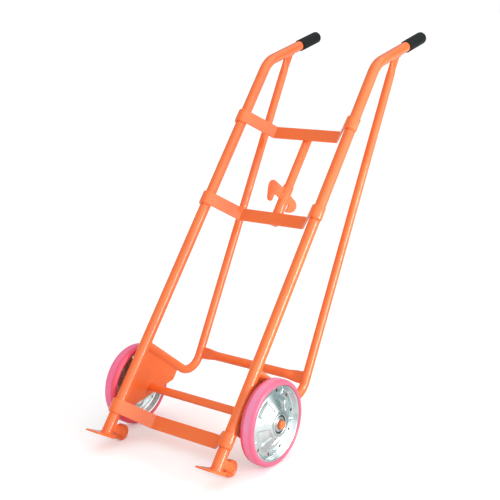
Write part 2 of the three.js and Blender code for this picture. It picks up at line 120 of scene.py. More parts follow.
class TruckAxes:
    """The truck's own axes, leaned back until wheels and rollers stand on one floor."""

    def __init__(self) -> None:
        """Finds the lean from the wheel and roller sizes and the place from the right hub."""
        behind, above = AXLE_BACK - ROLLER_BACK, AXLE_UP - ROLLER_UP
        drop = (TYRE_RADIUS - ROLLER_RADIUS) / math.hypot(behind, above)
        self.lean = math.acos(drop) - math.atan2(behind, above)
        turn = Matrix.Rotation(-self.lean, 4, "X") @ Matrix.Scale(MILLIMETRE, 4)
        low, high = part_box("right_hub")
        hub = turn @ Vector((WHEEL_X, AXLE_BACK, AXLE_UP))
        self.matrix = Matrix.Translation((low + high) / 2 - hub) @ turn

    def point(self, x: float, v: float, u: float) -> Vector:
        """A point of the truck's own axes, in the shared frame."""
        return self.matrix @ Vector((x, v, u))


axes = TruckAxes()


# Node trees


class Value:
    """A node's output with arithmetic: an expression on values adds its Math nodes."""

    def __init__(self, graph: "Graph", socket: bpy.types.NodeSocket) -> None:
        """Wraps one output socket of a graph."""
        self.graph = graph
        self.socket = socket

    def math(self, operation: str, *terms: Any) -> "Value":
        """Adds a Math node on the given terms."""
        return self.graph.node("ShaderNodeMath", dict(enumerate(terms)), operation=operation)

    def __add__(self, other: Any) -> "Value":
        """The sum of two values."""
        return self.math("ADD", self, other)

    def __sub__(self, other: Any) -> "Value":
        """The first value less the second."""
        return self.math("SUBTRACT", self, other)

    def __mul__(self, other: Any) -> "Value":
        """The product of two values."""
        return self.math("MULTIPLY", self, other)

    def __truediv__(self, other: Any) -> "Value":
        """The first value divided by the second."""
        return self.math("DIVIDE", self, other)

    def __rsub__(self, other: Any) -> "Value":
        """A number less this value."""
        return self.math("SUBTRACT", other, self)

    def __rtruediv__(self, other: Any) -> "Value":
        """A number divided by this value."""
        return self.math("DIVIDE", other, self)

    __radd__ = __add__
    __rmul__ = __mul__

    def size(self) -> "Value":
        """The value without its sign."""
        return self.math("ABSOLUTE", self)

    def sine(self) -> "Value":
        """The sine of the value in radians."""
        return self.math("SINE", self)

    def between(self, low: float, high: float) -> "Value":
        """A smooth step.

        Args:
            low: Where it leaves 0; it may be the larger of the two.
            high: Where it reaches 1.

        Returns:
            The step as a value.
        """
        if low > high:
            return 1 - self.between(high, low)
        inputs = {"Value": self, "From Min": low, "From Max": high}
        return self.graph.node("ShaderNodeMapRange", inputs, interpolation_type="SMOOTHSTEP")


class Graph:
    """A tree of shader or geometry nodes and the few ways in which nodes are added to it."""

    def __init__(self, tree: bpy.types.NodeTree) -> None:
        """Starts the tree afresh."""
        self.tree = tree
        self.tree.nodes.clear()

    def place(self, socket: bpy.types.NodeSocket, value: Any) -> None:
        """Links a value to a socket or sets it as the socket's constant.

        Args:
            socket: The input socket.
            value: A value of this graph, or a constant that fits the socket.
        """
        if isinstance(value, Value):
            self.tree.links.new(value.socket, socket)
        else:
            socket.default_value = value

    def add(self, kind: str, inputs: dict | None = None, **settings: Any) -> bpy.types.Node:
        """Adds one node.

        Args:
            kind: The node's type.
            inputs: Values or constants by socket name or number.
            settings: The node's properties, which are set before its inputs.

        Returns:
            The node.
        """
        made = self.tree.nodes.new(kind)
        for name, setting in settings.items():
            setattr(made, name, setting)
        for name, value in (inputs or {}).items():
            self.place(made.inputs[name], value)
        return made

    def node(
        self, kind: str, inputs: dict | None = None, output: int | str = 0, **settings: Any
    ) -> Value:
        """Adds one node and gives one of its outputs as a value."""
        return Value(self, self.add(kind, inputs, **settings).outputs[output])


@dataclass(frozen=True)
class Pattern:
    """A cloudy pattern: its scale per metre, and the noise levels between which it comes up."""

    scale: float
    detail: float
    low: float
    high: float
    stretch: Point3 = (1.0, 1.0, 1.0)


@dataclass(frozen=True)
class Relief:
    """A fine surface relief: its scale per metre, its strength and its depth in metres."""

    scale: float
    detail: float
    strength: float
    depth: float


class Shading(Graph):
    """A tree of shader nodes."""

    def here(self) -> Value:
        """The point in object coordinates, which are the shared frame's metres."""
        return self.node("ShaderNodeTexCoord", output="Object")

    def part(self, axis: str) -> Value:
        """One coordinate of the point in object coordinates."""
        return self.node("ShaderNodeSeparateXYZ", {"Vector": self.here()}, axis)

    def on_left(self) -> Value:
        """1 on the truck's left wheel and 0 on its right one."""
        return self.part("X").between(*LEFT_BORDER)

    def noise(self, scale: float, detail: float, stretch: Point3 = (1.0, 1.0, 1.0)) -> Value:
        """A noise pattern of a given scale, per metre, which may be stretched along the axes."""
        where = self.node("ShaderNodeMapping", {"Vector": self.here(), "Scale": stretch})
        return self.node("ShaderNodeTexNoise", {"Vector": where, "Scale": scale, "Detail": detail})

    def pattern(self, kind: Pattern) -> Value:
        """A cloudy pattern, from 0 to 1."""
        return self.noise(kind.scale, kind.detail, kind.stretch).between(kind.low, kind.high)

    def bump(self, height: Value, strength: float, depth: float) -> Value:
        """The surface's normal where a pattern stands up by a depth in metres."""
        inputs = {"Height": height, "Strength": strength, "Distance": depth}
        return self.node("ShaderNodeBump", inputs)

    def relief(self, kind: Relief) -> Value:
        """The surface's normal with a fine relief."""
        return self.bump(self.noise(kind.scale, kind.detail), kind.strength, kind.depth)

    def radius(self, centre: Point3) -> Value:
        """The distance from the line along X through a point.

        Args:
            centre: The point, in metres.

        Returns:
            The distance in metres.
        """
        flat = {0: self.here(), 1: (0.0, 1.0, 1.0)}
        flat_point = self.node("ShaderNodeVectorMath", flat, operation="MULTIPLY")
        ends = {0: flat_point, 1: (0.0, centre[1], centre[2])}
        return self.node("ShaderNodeVectorMath", ends, "Value", operation="DISTANCE")

    def facing(self, way: Point3) -> Value:
        """How far a ray into the surroundings points a given way, from -1 to 1."""
        terms = {0: self.node("ShaderNodeTexCoord", output="Generated"), 1: way}
        return self.node("ShaderNodeVectorMath", terms, "Value", operation="DOT_PRODUCT")

    def mix(self, first: Any, second: Any, factor: Any) -> Value:
        """A colour between two colours.

        Args:
            first: The colour at factor 0: a value, three numbers, or one number for a grey.
            second: The colour at factor 1, given in the same ways.
            factor: How much of the second colour is mixed in.

        Returns:
            The mixed colour.
        """
        inputs = {"Factor": factor}
        for socket, colour in (("A", first), ("B", second)):
            if isinstance(colour, float):
                colour = (colour,) * 3
            inputs[socket] = colour if isinstance(colour, Value) else (*colour, 1.0)
        return self.node("ShaderNodeMix", inputs, "Result", data_type="RGBA")

    def layered(self, base: Any, *layers: tuple[Any, Any]) -> Value:
        """Mixes colours over a base colour, one after another.

        Args:
            base: The base colour, given as mix takes it.
            layers: Each further colour, with how much of it is mixed in.

        Returns:
            The colour that results.
        """
        for colour, factor in layers:
            base = self.mix(base, colour, factor)
        return base

    def ray(self, kind: str) -> Value:
        """1 where a ray of a kind (Camera, Glossy, Transmission) arrives, else 0."""
        return self.node("ShaderNodeLightPath", output=f"Is {kind} Ray")

    def shader_mix(self, first: Value, second: Value, factor: Value) -> Value:
        """One shader or another, by a factor."""
        return self.node("ShaderNodeMixShader", {0: factor, 1: first, 2: second})


class Coating(Shading):
    """One material, from its principled shader back to its patterns."""

    def __init__(self, name: str) -> None:
        """Makes the material with a principled shader on its output.

        Args:
            name: The material's name.
        """
        self.material = bpy.data.materials.new(name)
        self.material.use_nodes = True
        super().__init__(self.material.node_tree)
        self.shader = self.add("ShaderNodeBsdfPrincipled")
        self.plain = Value(self, self.shader.outputs[0])
        self.output = self.add("ShaderNodeOutputMaterial", {"Surface": self.plain})

    def dress(self, **sockets: Any) -> bpy.types.Material:
        """Sets the principled shader's sockets.

        Args:
            sockets: Values or constants by socket name, with underscores for spaces.

        Returns:
            The material.
        """
        for name, value in sockets.items():
            self.place(self.shader.inputs[name.replace("_", " ")], value)
        return self.material


# Finishes


@dataclass(frozen=True)
class OrangeEnamel:
    """Glossy orange enamel with slight orange peel, uneven thickness and a few scuffs."""

    colour: Point3 = (0.955, 0.163, 0.022)
    thin: Point3 = (0.960, 0.212, 0.038)
    deep: Point3 = (0.920, 0.122, 0.014)
    clouds: Pattern = Pattern(scale=9.0, detail=3.0, low=0.35, high=0.70)
    grains: Pattern = Pattern(scale=60.0, detail=5.0, low=0.30, high=0.75)
    scuffs: Pattern = Pattern(scale=210.0, detail=6.0, low=0.66, high=0.74, stretch=(1.0, 0.35, 1.0))
    peel: Relief = Relief(scale=620.0, detail=2.0, strength=0.08, depth=0.0005)
    roughness: float = 0.36
    slot: str = "orange_enamel"

    def material(self) -> bpy.types.Material:
        """Builds the enamel's nodes.

        Returns:
            The material.
        """
        graph = Coating("enamel_orange")
        cloud, grain, scuff = map(graph.pattern, (self.clouds, self.grains, self.scuffs))
        layers = (self.thin, cloud * 0.45), (self.deep, grain * 0.22), (self.thin, scuff * 0.35)
        return graph.dress(
            Base_Color=graph.layered(self.colour, *layers),
            Roughness=grain * 0.10 + scuff * 0.18 + self.roughness,
            Metallic=0.0,
            Specular_IOR_Level=0.35,
            Coat_Weight=1 - scuff * 0.5,
            Coat_Roughness=0.05,
            Coat_IOR=1.5,
            Normal=graph.relief(self.peel),
        )


@dataclass(frozen=True)
class PinkRubber:
    """Pink tyre rubber with dust, and with painted light and shade: a paler band down the tread that is
    partly a rolling band and partly painted sheen, painted shade on the shoulders and sidewalls, and
    painted shade all over the left tyre.

    The band and the shaded edges are given by the distance in metres from the wheel's middle plane,
    outwards.
    """

    colour: Point3 = (0.880, 0.155, 0.280)
    light: Point3 = (0.910, 0.320, 0.540)
    dark: Point3 = (0.880, 0.072, 0.130)
    painted_shade_left: Point3 = (0.950, 0.100, 0.250)
    band: Point2 = (0.0160, 0.0060)
    inner_edge: Point2 = (-0.0050, -0.0110)
    outer_edge: Point2 = (0.0130, 0.0190)
    mottles: Pattern = Pattern(scale=42.0, detail=4.0, low=0.30, high=0.75)
    dusting: Pattern = Pattern(scale=300.0, detail=5.0, low=0.58, high=0.72)
    grain: Relief = Relief(scale=900.0, detail=3.0, strength=0.12, depth=0.0005)
    roughness: float = 0.46
    coat: float = 0.55
    slot: str = "pink_tyre_rubber"

    def material(self) -> bpy.types.Material:
        """Builds the rubber's nodes.

        Returns:
            The material.
        """
        graph = Coating("rubber_pink")
        out = graph.part("X").size() - WHEEL_X * MILLIMETRE
        # Painted shade on the shoulders and sidewalls, where the rounded rubber turns away from the
        # light.
        edge = out.between(*self.inner_edge) + out.between(*self.outer_edge) * 0.35
        mottle, dust = map(graph.pattern, (self.mottles, self.dusting))
        # Paler band (partly rolling band, partly painted sheen), painted shade over the left tyre,
        # painted shade at the edges with mottles, then dust.
        layers = (
            (self.light, out.size().between(*self.band) * 0.75),
            (self.painted_shade_left, graph.on_left() * 0.6),
            (self.dark, edge * 0.85 + mottle * 0.10),
            (self.light, dust * 0.25),
        )
        return graph.dress(
            Base_Color=graph.layered(self.colour, *layers),
            Roughness=mottle * 0.12 + self.roughness,
            Metallic=0.0,
            Specular_IOR_Level=0.4,
            Coat_Weight=self.coat - dust * 0.3,
            Coat_Roughness=0.22,
            Normal=graph.relief(self.grain),
        )


@dataclass(frozen=True)
class GripRubber:
    """Black moulded rubber with a fine matt grain and paler rubbed patches."""

    colour: Point3 = (0.008, 0.010, 0.011)
    rubbed: Point3 = (0.020, 0.023, 0.024)
    patches: Pattern = Pattern(scale=55.0, detail=4.0, low=0.40, high=0.70)
    roughness: float = 0.50
    grain_scale: float = 900.0
    grain_strength: float = 0.25
    grain_depth: float = 0.0004
    slot: str = "black_grip_rubber"

    def material(self) -> bpy.types.Material:
        """Builds the rubber's nodes.

        Returns:
            The material.
        """
        graph = Coating("rubber_black")
        patch = graph.pattern(self.patches)
        cells = {"Vector": graph.here(), "Scale": self.grain_scale}
        grain = graph.node("ShaderNodeTexVoronoi", cells, feature="F1")
        return graph.dress(
            Base_Color=graph.mix(self.colour, self.rubbed, patch * 0.6),
            Roughness=patch * 0.14 + self.roughness,
            Metallic=0.0,
            Specular_IOR_Level=0.15,
            Normal=graph.bump(grain, self.grain_strength, self.grain_depth),
        )


@dataclass(frozen=True)
class BrightZinc:
    """Bright zinc plate with a bluish cast and clouded passivation, duller on the left wheel."""

    colour: Point3 = (0.750, 0.810, 0.810)
    warm: Point3 = (0.810, 0.815, 0.785)
    blue: Point3 = (0.500, 0.640, 0.650)
    clouds: Pattern = Pattern(scale=16.0, detail=3.0, low=0.38, high=0.66)
    blushes: Pattern = Pattern(scale=31.0, detail=2.0, low=0.50, high=0.72)
    spangles: Pattern = Pattern(scale=240.0, detail=5.0, low=0.35, high=0.75)
    waves: Relief = Relief(scale=38.0, detail=1.0, strength=0.02, depth=0.0005)
    roughness: float = 0.20
    slot: str = "zinc_plate"

    def material(self) -> bpy.types.Material:
        """Builds the plate's nodes.

        Returns:
            The material.
        """
        graph = Coating("zinc_bright")
        cloud, blush, spangle = map(graph.pattern, (self.clouds, self.blushes, self.spangles))
        dulling = spangle * 0.015 + cloud * 0.05 + graph.on_left() * 0.18
        return graph.dress(
            Base_Color=graph.layered(self.colour, (self.blue, cloud * 0.6), (self.warm, blush * 0.55)),
            Roughness=dulling + self.roughness,
            Metallic=0.95,
            Normal=graph.relief(self.waves),
        )


@dataclass(frozen=True)
class BareSteel:
    """Grey steel of the bearings and clips, with dark specks, and painted shade in two dark rings where
    gaps run round the axle and round the bearing's shield.

    The two painted rings are given by their distance in metres from the axle's line.
    """

    colour: Point3 = (0.800, 0.820, 0.830)
    dark: Point3 = (0.420, 0.430, 0.440)
    gap_shade: Point3 = (0.045, 0.040, 0.038)
    gap_shade_at_axle: Point2 = (0.0158, 0.0146)
    gap_shade_at_hub: Point2 = (0.0214, 0.0226)
    specks: Pattern = Pattern(scale=420.0, detail=5.0, low=0.50, high=0.72)
    marks: Relief = Relief(scale=1400.0, detail=2.0, strength=0.10, depth=0.0003)
    roughness: float = 0.24
    slot: str = "bare_steel"

    def material(self) -> bpy.types.Material:
        """Builds the steel's nodes.

        Returns:
            The material.
        """
        graph = Coating("steel_bare")
        speck = graph.pattern(self.specks)
        radius = graph.radius(axes.point(0.0, AXLE_BACK, AXLE_UP))
        # Painted shade: two dark rings in the gaps round the axle and round the shield.
        gap_shading = radius.between(*self.gap_shade_at_axle) * 0.8 + radius.between(*self.gap_shade_at_hub)
        return graph.dress(
            Base_Color=graph.layered(self.colour, (self.dark, speck * 0.5), (self.gap_shade, gap_shading * 0.9)),
            Roughness=speck * 0.2 + self.roughness,
            Metallic=1.0,
            Normal=graph.relief(self.marks),
        )


Finish = OrangeEnamel | PinkRubber | GripRubber | BrightZinc | BareSteel
ENAMEL, ZINC, STEEL = OrangeEnamel(), BrightZinc(), BareSteel()


@cache
def material_of(finish: Finish) -> bpy.types.Material:
    """The finish's material, made on first use."""
    return finish.material()


def stand(name: str, data: Any) -> bpy.types.Object:
    """Puts new data into the scene.

    Args:
        name: The object's name.
        data: Its mesh, lamp or camera.

    Returns:
        The new object, at the origin.
    """
    made = bpy.data.objects.new(name, data)
    bpy.context.scene.collection.objects.link(made)
    return made


def settle(piece: bpy.types.Object, finish: Finish, body: Body, *nodes: str) -> None:
    """Finishes one piece.

    Args:
        piece: The piece, a plain mesh at the origin.
        finish: Its finish, all over.
        body: The body that it rides on.
        nodes: The CAD nodes that it stands for.
    """
    piece.data.materials.clear()
    piece.data.materials.append(material_of(finish))
    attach(piece, body.value)
    if nodes:
        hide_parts(*nodes)
    log.info("%s: %d faces on %s", piece.name, len(piece.data.polygons), body.value)


# Outlines


def smoothstep(value: float, low: float, high: float) -> float:
    """0 below low, 1 above high and a smooth step between."""
    share = min(max((value - low) / (high - low), 0.0), 1.0)
    return share * share * (3 - 2 * share)


def circle(radius: float, sides: int) -> list[Point2]:
    """A round section."""
    angles = (2 * math.pi * i / sides for i in range(sides))
    return [(radius * math.cos(a), radius * math.sin(a)) for a in angles]


def arc(centre: Point2, radius: float, first: float, last: float, steps: int) -> list[Point2]:
    """Points on an arc.

    Args:
        centre: The arc's centre.
        radius: Its radius.
        first: The angle where it starts, in degrees.
        last: The angle where it ends.
        steps: How many chords it has.

    Returns:
        The points, with both ends.
    """
    angles = [math.radians(first + (last - first) * i / steps) for i in range(steps + 1)]
    return [(centre[0] + radius * math.cos(a), centre[1] + radius * math.sin(a)) for a in angles]


def mirrored(half: Sequence[tuple]) -> list[tuple]:
    """A section that is the same on both sides of its middle, from its half on the plus side."""
    return [(-first, *rest) for first, *rest in reversed(half)] + list(half)


def softened(corners: Sequence[Corner], steps: int = 4) -> list[Point2]:
    """Rounds the corners of a closed outline.

    Args:
        corners: Each corner as (across, up, rounding radius).
        steps: How many chords make each rounding.

    Returns:
        The rounded outline's points, without doubles.
    """
    points: list[Point2] = []
    for i, (x, y, radius) in enumerate(corners):
        if radius <= 0:
            points.append((x, y))
            continue
        here = Vector((x, y))
        before = Vector(corners[i - 1][:2]) - here
        after = Vector(corners[(i + 1) % len(corners)][:2]) - here
        half = before.angle(after) / 2
        reach = min(radius / math.tan(half), before.length * 0.49, after.length * 0.49)
        inner = reach * math.tan(half)
        before.normalize()
        after.normalize()
        centre = here + (before + after).normalized() * (inner / math.sin(half))
        first, last = here + before * reach - centre, here + after * reach - centre
        sweep = math.atan2(first.x * last.y - first.y * last.x, first.dot(last))
        for step in range(steps + 1):
            turn = Matrix.Rotation(sweep * step / steps, 2)
            points.append(tuple(centre + turn @ first))
    return points


def barrel(start: float, end: float, outer: Point2, inner: Point2) -> list[Point2]:
    """The section of a straight rod or tube.

    Args:
        start: Where it starts along its axis.
        end: Where it ends.
        outer: Its radius and the rounding of its edges.
        inner: Its bore's radius, 0 for a rod, and the rounding of the bore's edges.

    Returns:
        The closed section as (along, radius).
    """
    return softened([(start, *inner), (start, *outer), (end, *outer), (end, *inner)])


def curved(points: Sequence[Point2], steps: int) -> list[Point2]:
    """A smooth closed outline through the given points.

    Args:
        points: The points, in order.
        steps: How many chords lead from each point to the next.

    Returns:
        The outline.
    """
    result: list[Point2] = []
    count = len(points)
    for i in range(count):
        p0, p1, p2, p3 = (Vector(points[(i + k) % count]) for k in (-1, 0, 1, 2))
        for step in range(steps):
            t = step / steps
            square = (2 * p0 - 5 * p1 + 4 * p2 - p3) * t * t
            cube = (3 * p1 - p0 - 3 * p2 + p3) * t * t * t
            result.append(tuple(0.5 * (2 * p1 + (p2 - p0) * t + square + cube)))
    return result


def inset(outline: Sequence[Point2], depth: float) -> list[Point2]:
    """Moves a closed outline's points inwards.

    Args:
        outline: The outline, in either direction.
        depth: How far its sides move; a negative depth moves them outwards.

    Returns:
        The moved points.
    """
    neighbours = zip(outline, [*outline[1:], outline[0]])
    turn = 1.0 if sum(a[0] * b[1] - b[0] * a[1] for a, b in neighbours) > 0 else -1.0
    moved: list[Point2] = []
    for i, point in enumerate(outline):
        before = (Vector(point) - Vector(outline[i - 1])).normalized()
        after = (Vector(outline[(i + 1) % len(outline)]) - Vector(point)).normalized()
        square = Vector((-before.y, before.x)) * turn
        inward = square + Vector((-after.y, after.x)) * turn
        if inward.length < 1e-6:
            inward = square
        inward.normalize()
        slant = max(inward.dot(square), 0.5)
        moved.append(tuple(Vector(point) + inward * (depth / slant)))
    return moved


def flattened(radius: float, share: float, thin: float, wide: float, sides: int) -> list[Point2]:
    """A tube's section as it is squashed from a circle to a flat oval.

    Args:
        radius: The round tube's radius.
        share: How far it is squashed, from 0 to 1.
        thin: The flat oval's half thickness, along the side axis.
        wide: Its half width, along the normal axis.
        sides: How many points the section has.

    Returns:
        The section's points.
    """
    straight = wide - thin
    bow = math.pi * thin
    whole = 2 * bow + 4 * straight
    points = []
    for i, (a, b) in enumerate(circle(radius, sides)):
        run = i / sides * whole
        if run < straight:
            flat = (thin, run)
        elif run < straight + bow:
            turn = (run - straight) / thin
            flat = (thin * math.cos(turn), straight + thin * math.sin(turn))
        elif run < 3 * straight + bow:
            flat = (-thin, straight - (run - straight - bow))
        elif run < 3 * straight + 2 * bow:
            turn = math.pi + (run - 3 * straight - bow) / thin
            flat = (thin * math.cos(turn), -straight + thin * math.sin(turn))
        else:
            flat = (thin, run - whole)
        points.append((a + (flat[0] - a) * share, b + (flat[1] - b) * share))
    return points


# Ways to lay a shape in the truck's axes


def about_x(x: float, v: float, u: float, sign: float = 1.0, along_sign: float | None = None) -> Lay:
    """Lays a turned shape about an axis across the truck.

    Args:
        x: The place of the shape's own zero across the truck.
        v: The axis's place behind the rails.
        u: The axis's height up the rails.
        sign: 1, or -1 to mirror the shape from side to side and from front to back.
        along_sign: The sign for the axis's direction alone, where it differs.

    Returns:
        A function from (along, across, up) to the truck's axes.
    """
    flip = sign if along_sign is None else along_sign
    return lambda along, across, up: Vector((x + flip * along, v + sign * across, u + up))


def flat_on(x: float, v: float = 0.0, u: float = 0.0, sign: float = 1.0) -> Lay:
    """Lays a plate square to the axis across the truck.

    Args:
        x: The place of its middle plane.
        v: The place of the outline's zero behind the rails.
        u: The height of the outline's zero.
        sign: 1, or -1 to mirror the outline from front to back.

    Returns:
        A function from (back, up, distance from the middle plane) to the truck's axes.
    """
    return lambda back, up, out: Vector((x + out, v + sign * back, u + up))


@dataclass(frozen=True)
class Station:
    """One place along a bent bar: its point, its direction and the side axis of its section."""

    point: Vector
    along: Vector
    side: Vector

    def ring(self, section: Sequence[Point2]) -> list[Vector]:
        """A section of (side, normal) offsets laid on the station."""
        normal = self.along.cross(self.side)
        return [self.point + self.side * a + normal * b for a, b in section]


def bent(corners: Sequence[Vector], radius: float, steps: int = 24) -> list[Station]:
    """Stations along a path in a plane square to the axis across the truck.

    Args:
        corners: The path's corners, with both ends.
        radius: The bend radius of each corner between.
        steps: How many chords make each bend.

    Returns:
        The stations, with their side axis across the truck.
    """
    stations = [Station(corners[0], (corners[1] - corners[0]).normalized(), ACROSS)]
    for first, corner, last in zip(corners, corners[1:], corners[2:]):
        before, after = (corner - first).normalized(), (last - corner).normalized()
        turn = before.angle(after)
        start = corner - before * (radius * math.tan(turn / 2))
        inward = (after - before * before.dot(after)).normalized()
        for step in range(steps + 1):
            angle = turn * step / steps
            point = start + before * (radius * math.sin(angle))
            point += inward * (radius * (1 - math.cos(angle)))
            along = before * math.cos(angle) + inward * math.sin(angle)
            stations.append(Station(point, along, ACROSS))
    stations.append(Station(corners[-1], (corners[-1] - corners[-2]).normalized(), ACROSS))
    return stations


def evenly(first: Station, last: Station, count: int) -> list[Station]:
    """Even stations on a straight run, without its first one."""
    points = (first.point.lerp(last.point, (i + 1) / count) for i in range(count))
    return [Station(point, first.along, first.side) for point in points]


# Mesh making


class Draft:
    """Vertices and faces of one piece while it is drawn, in the truck's own axes."""

    def __init__(self) -> None:
        """Starts empty."""
        self.vertices: list[Vector] = []
        self.faces: list[tuple[int, ...]] = []

    def loop(self, points: Iterable[Vector]) -> list[int]:
        """Adds a loop of points.

        Args:
            points: The points, in order.

        Returns:
            Their numbers.
        """
        start = len(self.vertices)
        self.vertices.extend(Vector(p) for p in points)
        return list(range(start, len(self.vertices)))

    def bridge(self, first: Sequence[int], second: Sequence[int]) -> None:
        """Joins two closed loops with quads.

        Args:
            first: The numbers of one loop's points.
            second: The numbers of the other loop's points, as many.
        """
        for i in range(len(first)):
            j = (i + 1) % len(first)
            self.faces.append((first[i], first[j], second[j], second[i]))

    def loft(self, loops: Sequence[Sequence[Vector]], wrap: bool = False) -> "Draft":
        """Joins loops in order.

        Args:
            loops: The loops, each with the same number of points.
            wrap: Joins the last loop to the first; otherwise both ends are capped.

        Returns:
            The draft itself.
        """
        rings = [self.loop(points) for points in loops]
        for first, second in zip(rings, rings[1:]):
            self.bridge(first, second)
        if wrap:
            self.bridge(rings[-1], rings[0])
        else:
            self.faces.append(tuple(reversed(rings[0])))
            self.faces.append(tuple(rings[-1]))
        return self

    def turned(self, section: Sequence[Point2], sides: int, lay: Lay) -> "Draft":
        """Turns a closed section about an axis.

        Args:
            section: The section as (along, radius); a radius of 0 closes a pole.
            sides: How many sides the ring has.
            lay: Turns (along, across, up) about the axis into the truck's axes.

        Returns:
            The draft itself.
        """
        ways = circle(1.0, sides)
        loops = [[lay(along, r * c, r * s) for along, r in section] for c, s in ways]
        return self.loft(loops, wrap=True)

    def plate(self, outline: Sequence[Point2], thickness: float, edge: float, lay: Lay) -> "Draft":
        """Draws a plate with rounded edges.

        Args:
            outline: Its closed outline.
            thickness: Its full thickness.
            edge: The rounding of its edges.
            lay: Turns (across, up, distance from the middle plane) into the truck's axes.

        Returns:
            The draft itself.
        """
        half = thickness / 2
        levels = [
            (edge * (1 - math.sin(a)), -half + edge * (1 - math.cos(a)))
            for a in map(math.radians, (0, 30, 60, 90))
        ]
        levels += [(depth, -level) for depth, level in reversed(levels)]
        rings = [
            self.loop(lay(a, b, level) for a, b in inset(outline, depth)) for depth, level in levels
        ]
        for first, second in zip(rings, rings[1:]):
            self.bridge(first, second)
        triangles = tessellate_polygon([[Vector((a, b, 0)) for a, b in inset(outline, edge)]])
        for ring in (rings[0], rings[-1]):
            self.faces.extend(tuple(ring[corner] for corner in corners) for corners in triangles)
        return self

    def piece(self, name: str, sharp_degrees: float = 32.0) -> bpy.types.Object:
        """Makes the closed mesh in the shared frame, with outward faces and smooth shading.

        Args:
            name: The piece's name.
            sharp_degrees: Edges that turn by more than this stay sharp.

        Returns:
            The new object, at the origin.
        """
        mesh = bpy.data.meshes.new(name)
        mesh.from_pydata([axes.matrix @ v for v in self.vertices], [], self.faces)
        work = bmesh.new()
        work.from_mesh(mesh)
        bmesh.ops.remove_doubles(work, verts=work.verts, dist=2e-6)
        bmesh.ops.dissolve_degenerate(work, dist=1e-6, edges=work.edges)
        bmesh.ops.recalc_face_normals(work, faces=work.faces)
        work.to_mesh(mesh)
        work.free()
        mesh.shade_smooth()
        mesh.set_sharp_from_angle(angle=math.radians(sharp_degrees))
        return stand(name, mesh)

    def settle(
        self,
        name: str,
        *nodes: str,
        finish: Finish = ENAMEL,
        body: Body = Body.FRAME,
        sharp_degrees: float = 32.0,
    ) -> None:
        """Makes the piece and finishes it.

        Args:
            name: The piece's name.
            nodes: The CAD nodes that it stands for.
            finish: Its finish, all over.
            body: The body that it rides on.
            sharp_degrees: Edges that turn by more than this stay sharp.
        """
        settle(self.piece(name, sharp_degrees), finish, body, *nodes)


# Geometry nodes


class Recipe(Graph):
    """A geometry node tree with named inputs, which is run on one object at a time."""

    def __init__(self, name: str) -> None:
        """Starts a tree with its geometry input and output.

        Args:
            name: The tree's name.
        """
        super().__init__(bpy.data.node_groups.new(name, "GeometryNodeTree"))
        for way in ("INPUT", "OUTPUT"):
            self.tree.interface.new_socket("Geometry", in_out=way, socket_type="NodeSocketGeometry")
        self.start = self.add("NodeGroupInput")
        self.given = Value(self, self.start.outputs[0])
        self.names: dict[str, str] = {}

    def ask(self, name: str, kind: str = "Float") -> Value:
        """Adds a named input.

        Args:
            name: The input's name.
            kind: Its kind: Float, Int, Vector or Material.

        Returns:
            The input as a value.
        """
        made = self.tree.interface.new_socket(name, in_out="INPUT", socket_type=f"NodeSocket{kind}")
        self.names[name] = made.identifier
        return Value(self, next(s for s in self.start.outputs if s.identifier == made.identifier))

    def close(self, geometry: Value) -> None:
        """Ends the tree in Realize Instances and Set Material.

        Args:
            geometry: The geometry that the tree has made.
        """
        real = self.node("GeometryNodeRealizeInstances", {"Geometry": geometry})
        coat = self.ask("Material", "Material")
        done = self.node("GeometryNodeSetMaterial", {"Geometry": real, "Material": coat})
        self.add("NodeGroupOutput", {"Geometry": done})

    def run(
        self, source: bpy.types.Object, name: str, finish: Finish, values: dict[str, Any]
    ) -> bpy.types.Object:
        """Runs the tree on an object and turns the result into a plain mesh.

        Args:
            source: The object that the tree starts from; it is removed.
            name: The new piece's name.
            finish: The finish whose material the tree sets.
            values: The tree's other inputs by name.

        Returns:
            The new object, with no modifier.
        """
        source.name = name + "_blank"
        modifier = source.modifiers.new("recipe", "NODES")
        modifier.node_group = self.tree
        for key, value in {**values, "Material": material_of(finish)}.items():
            modifier[self.names[key]] = value
        bpy.context.view_layer.update()
        ready = source.evaluated_get(bpy.context.evaluated_depsgraph_get())
        mesh = bpy.data.meshes.new_from_object(ready)
        source.modifiers.clear()
        bpy.data.objects.remove(source)
        mesh.name = name
        return stand(name, mesh)


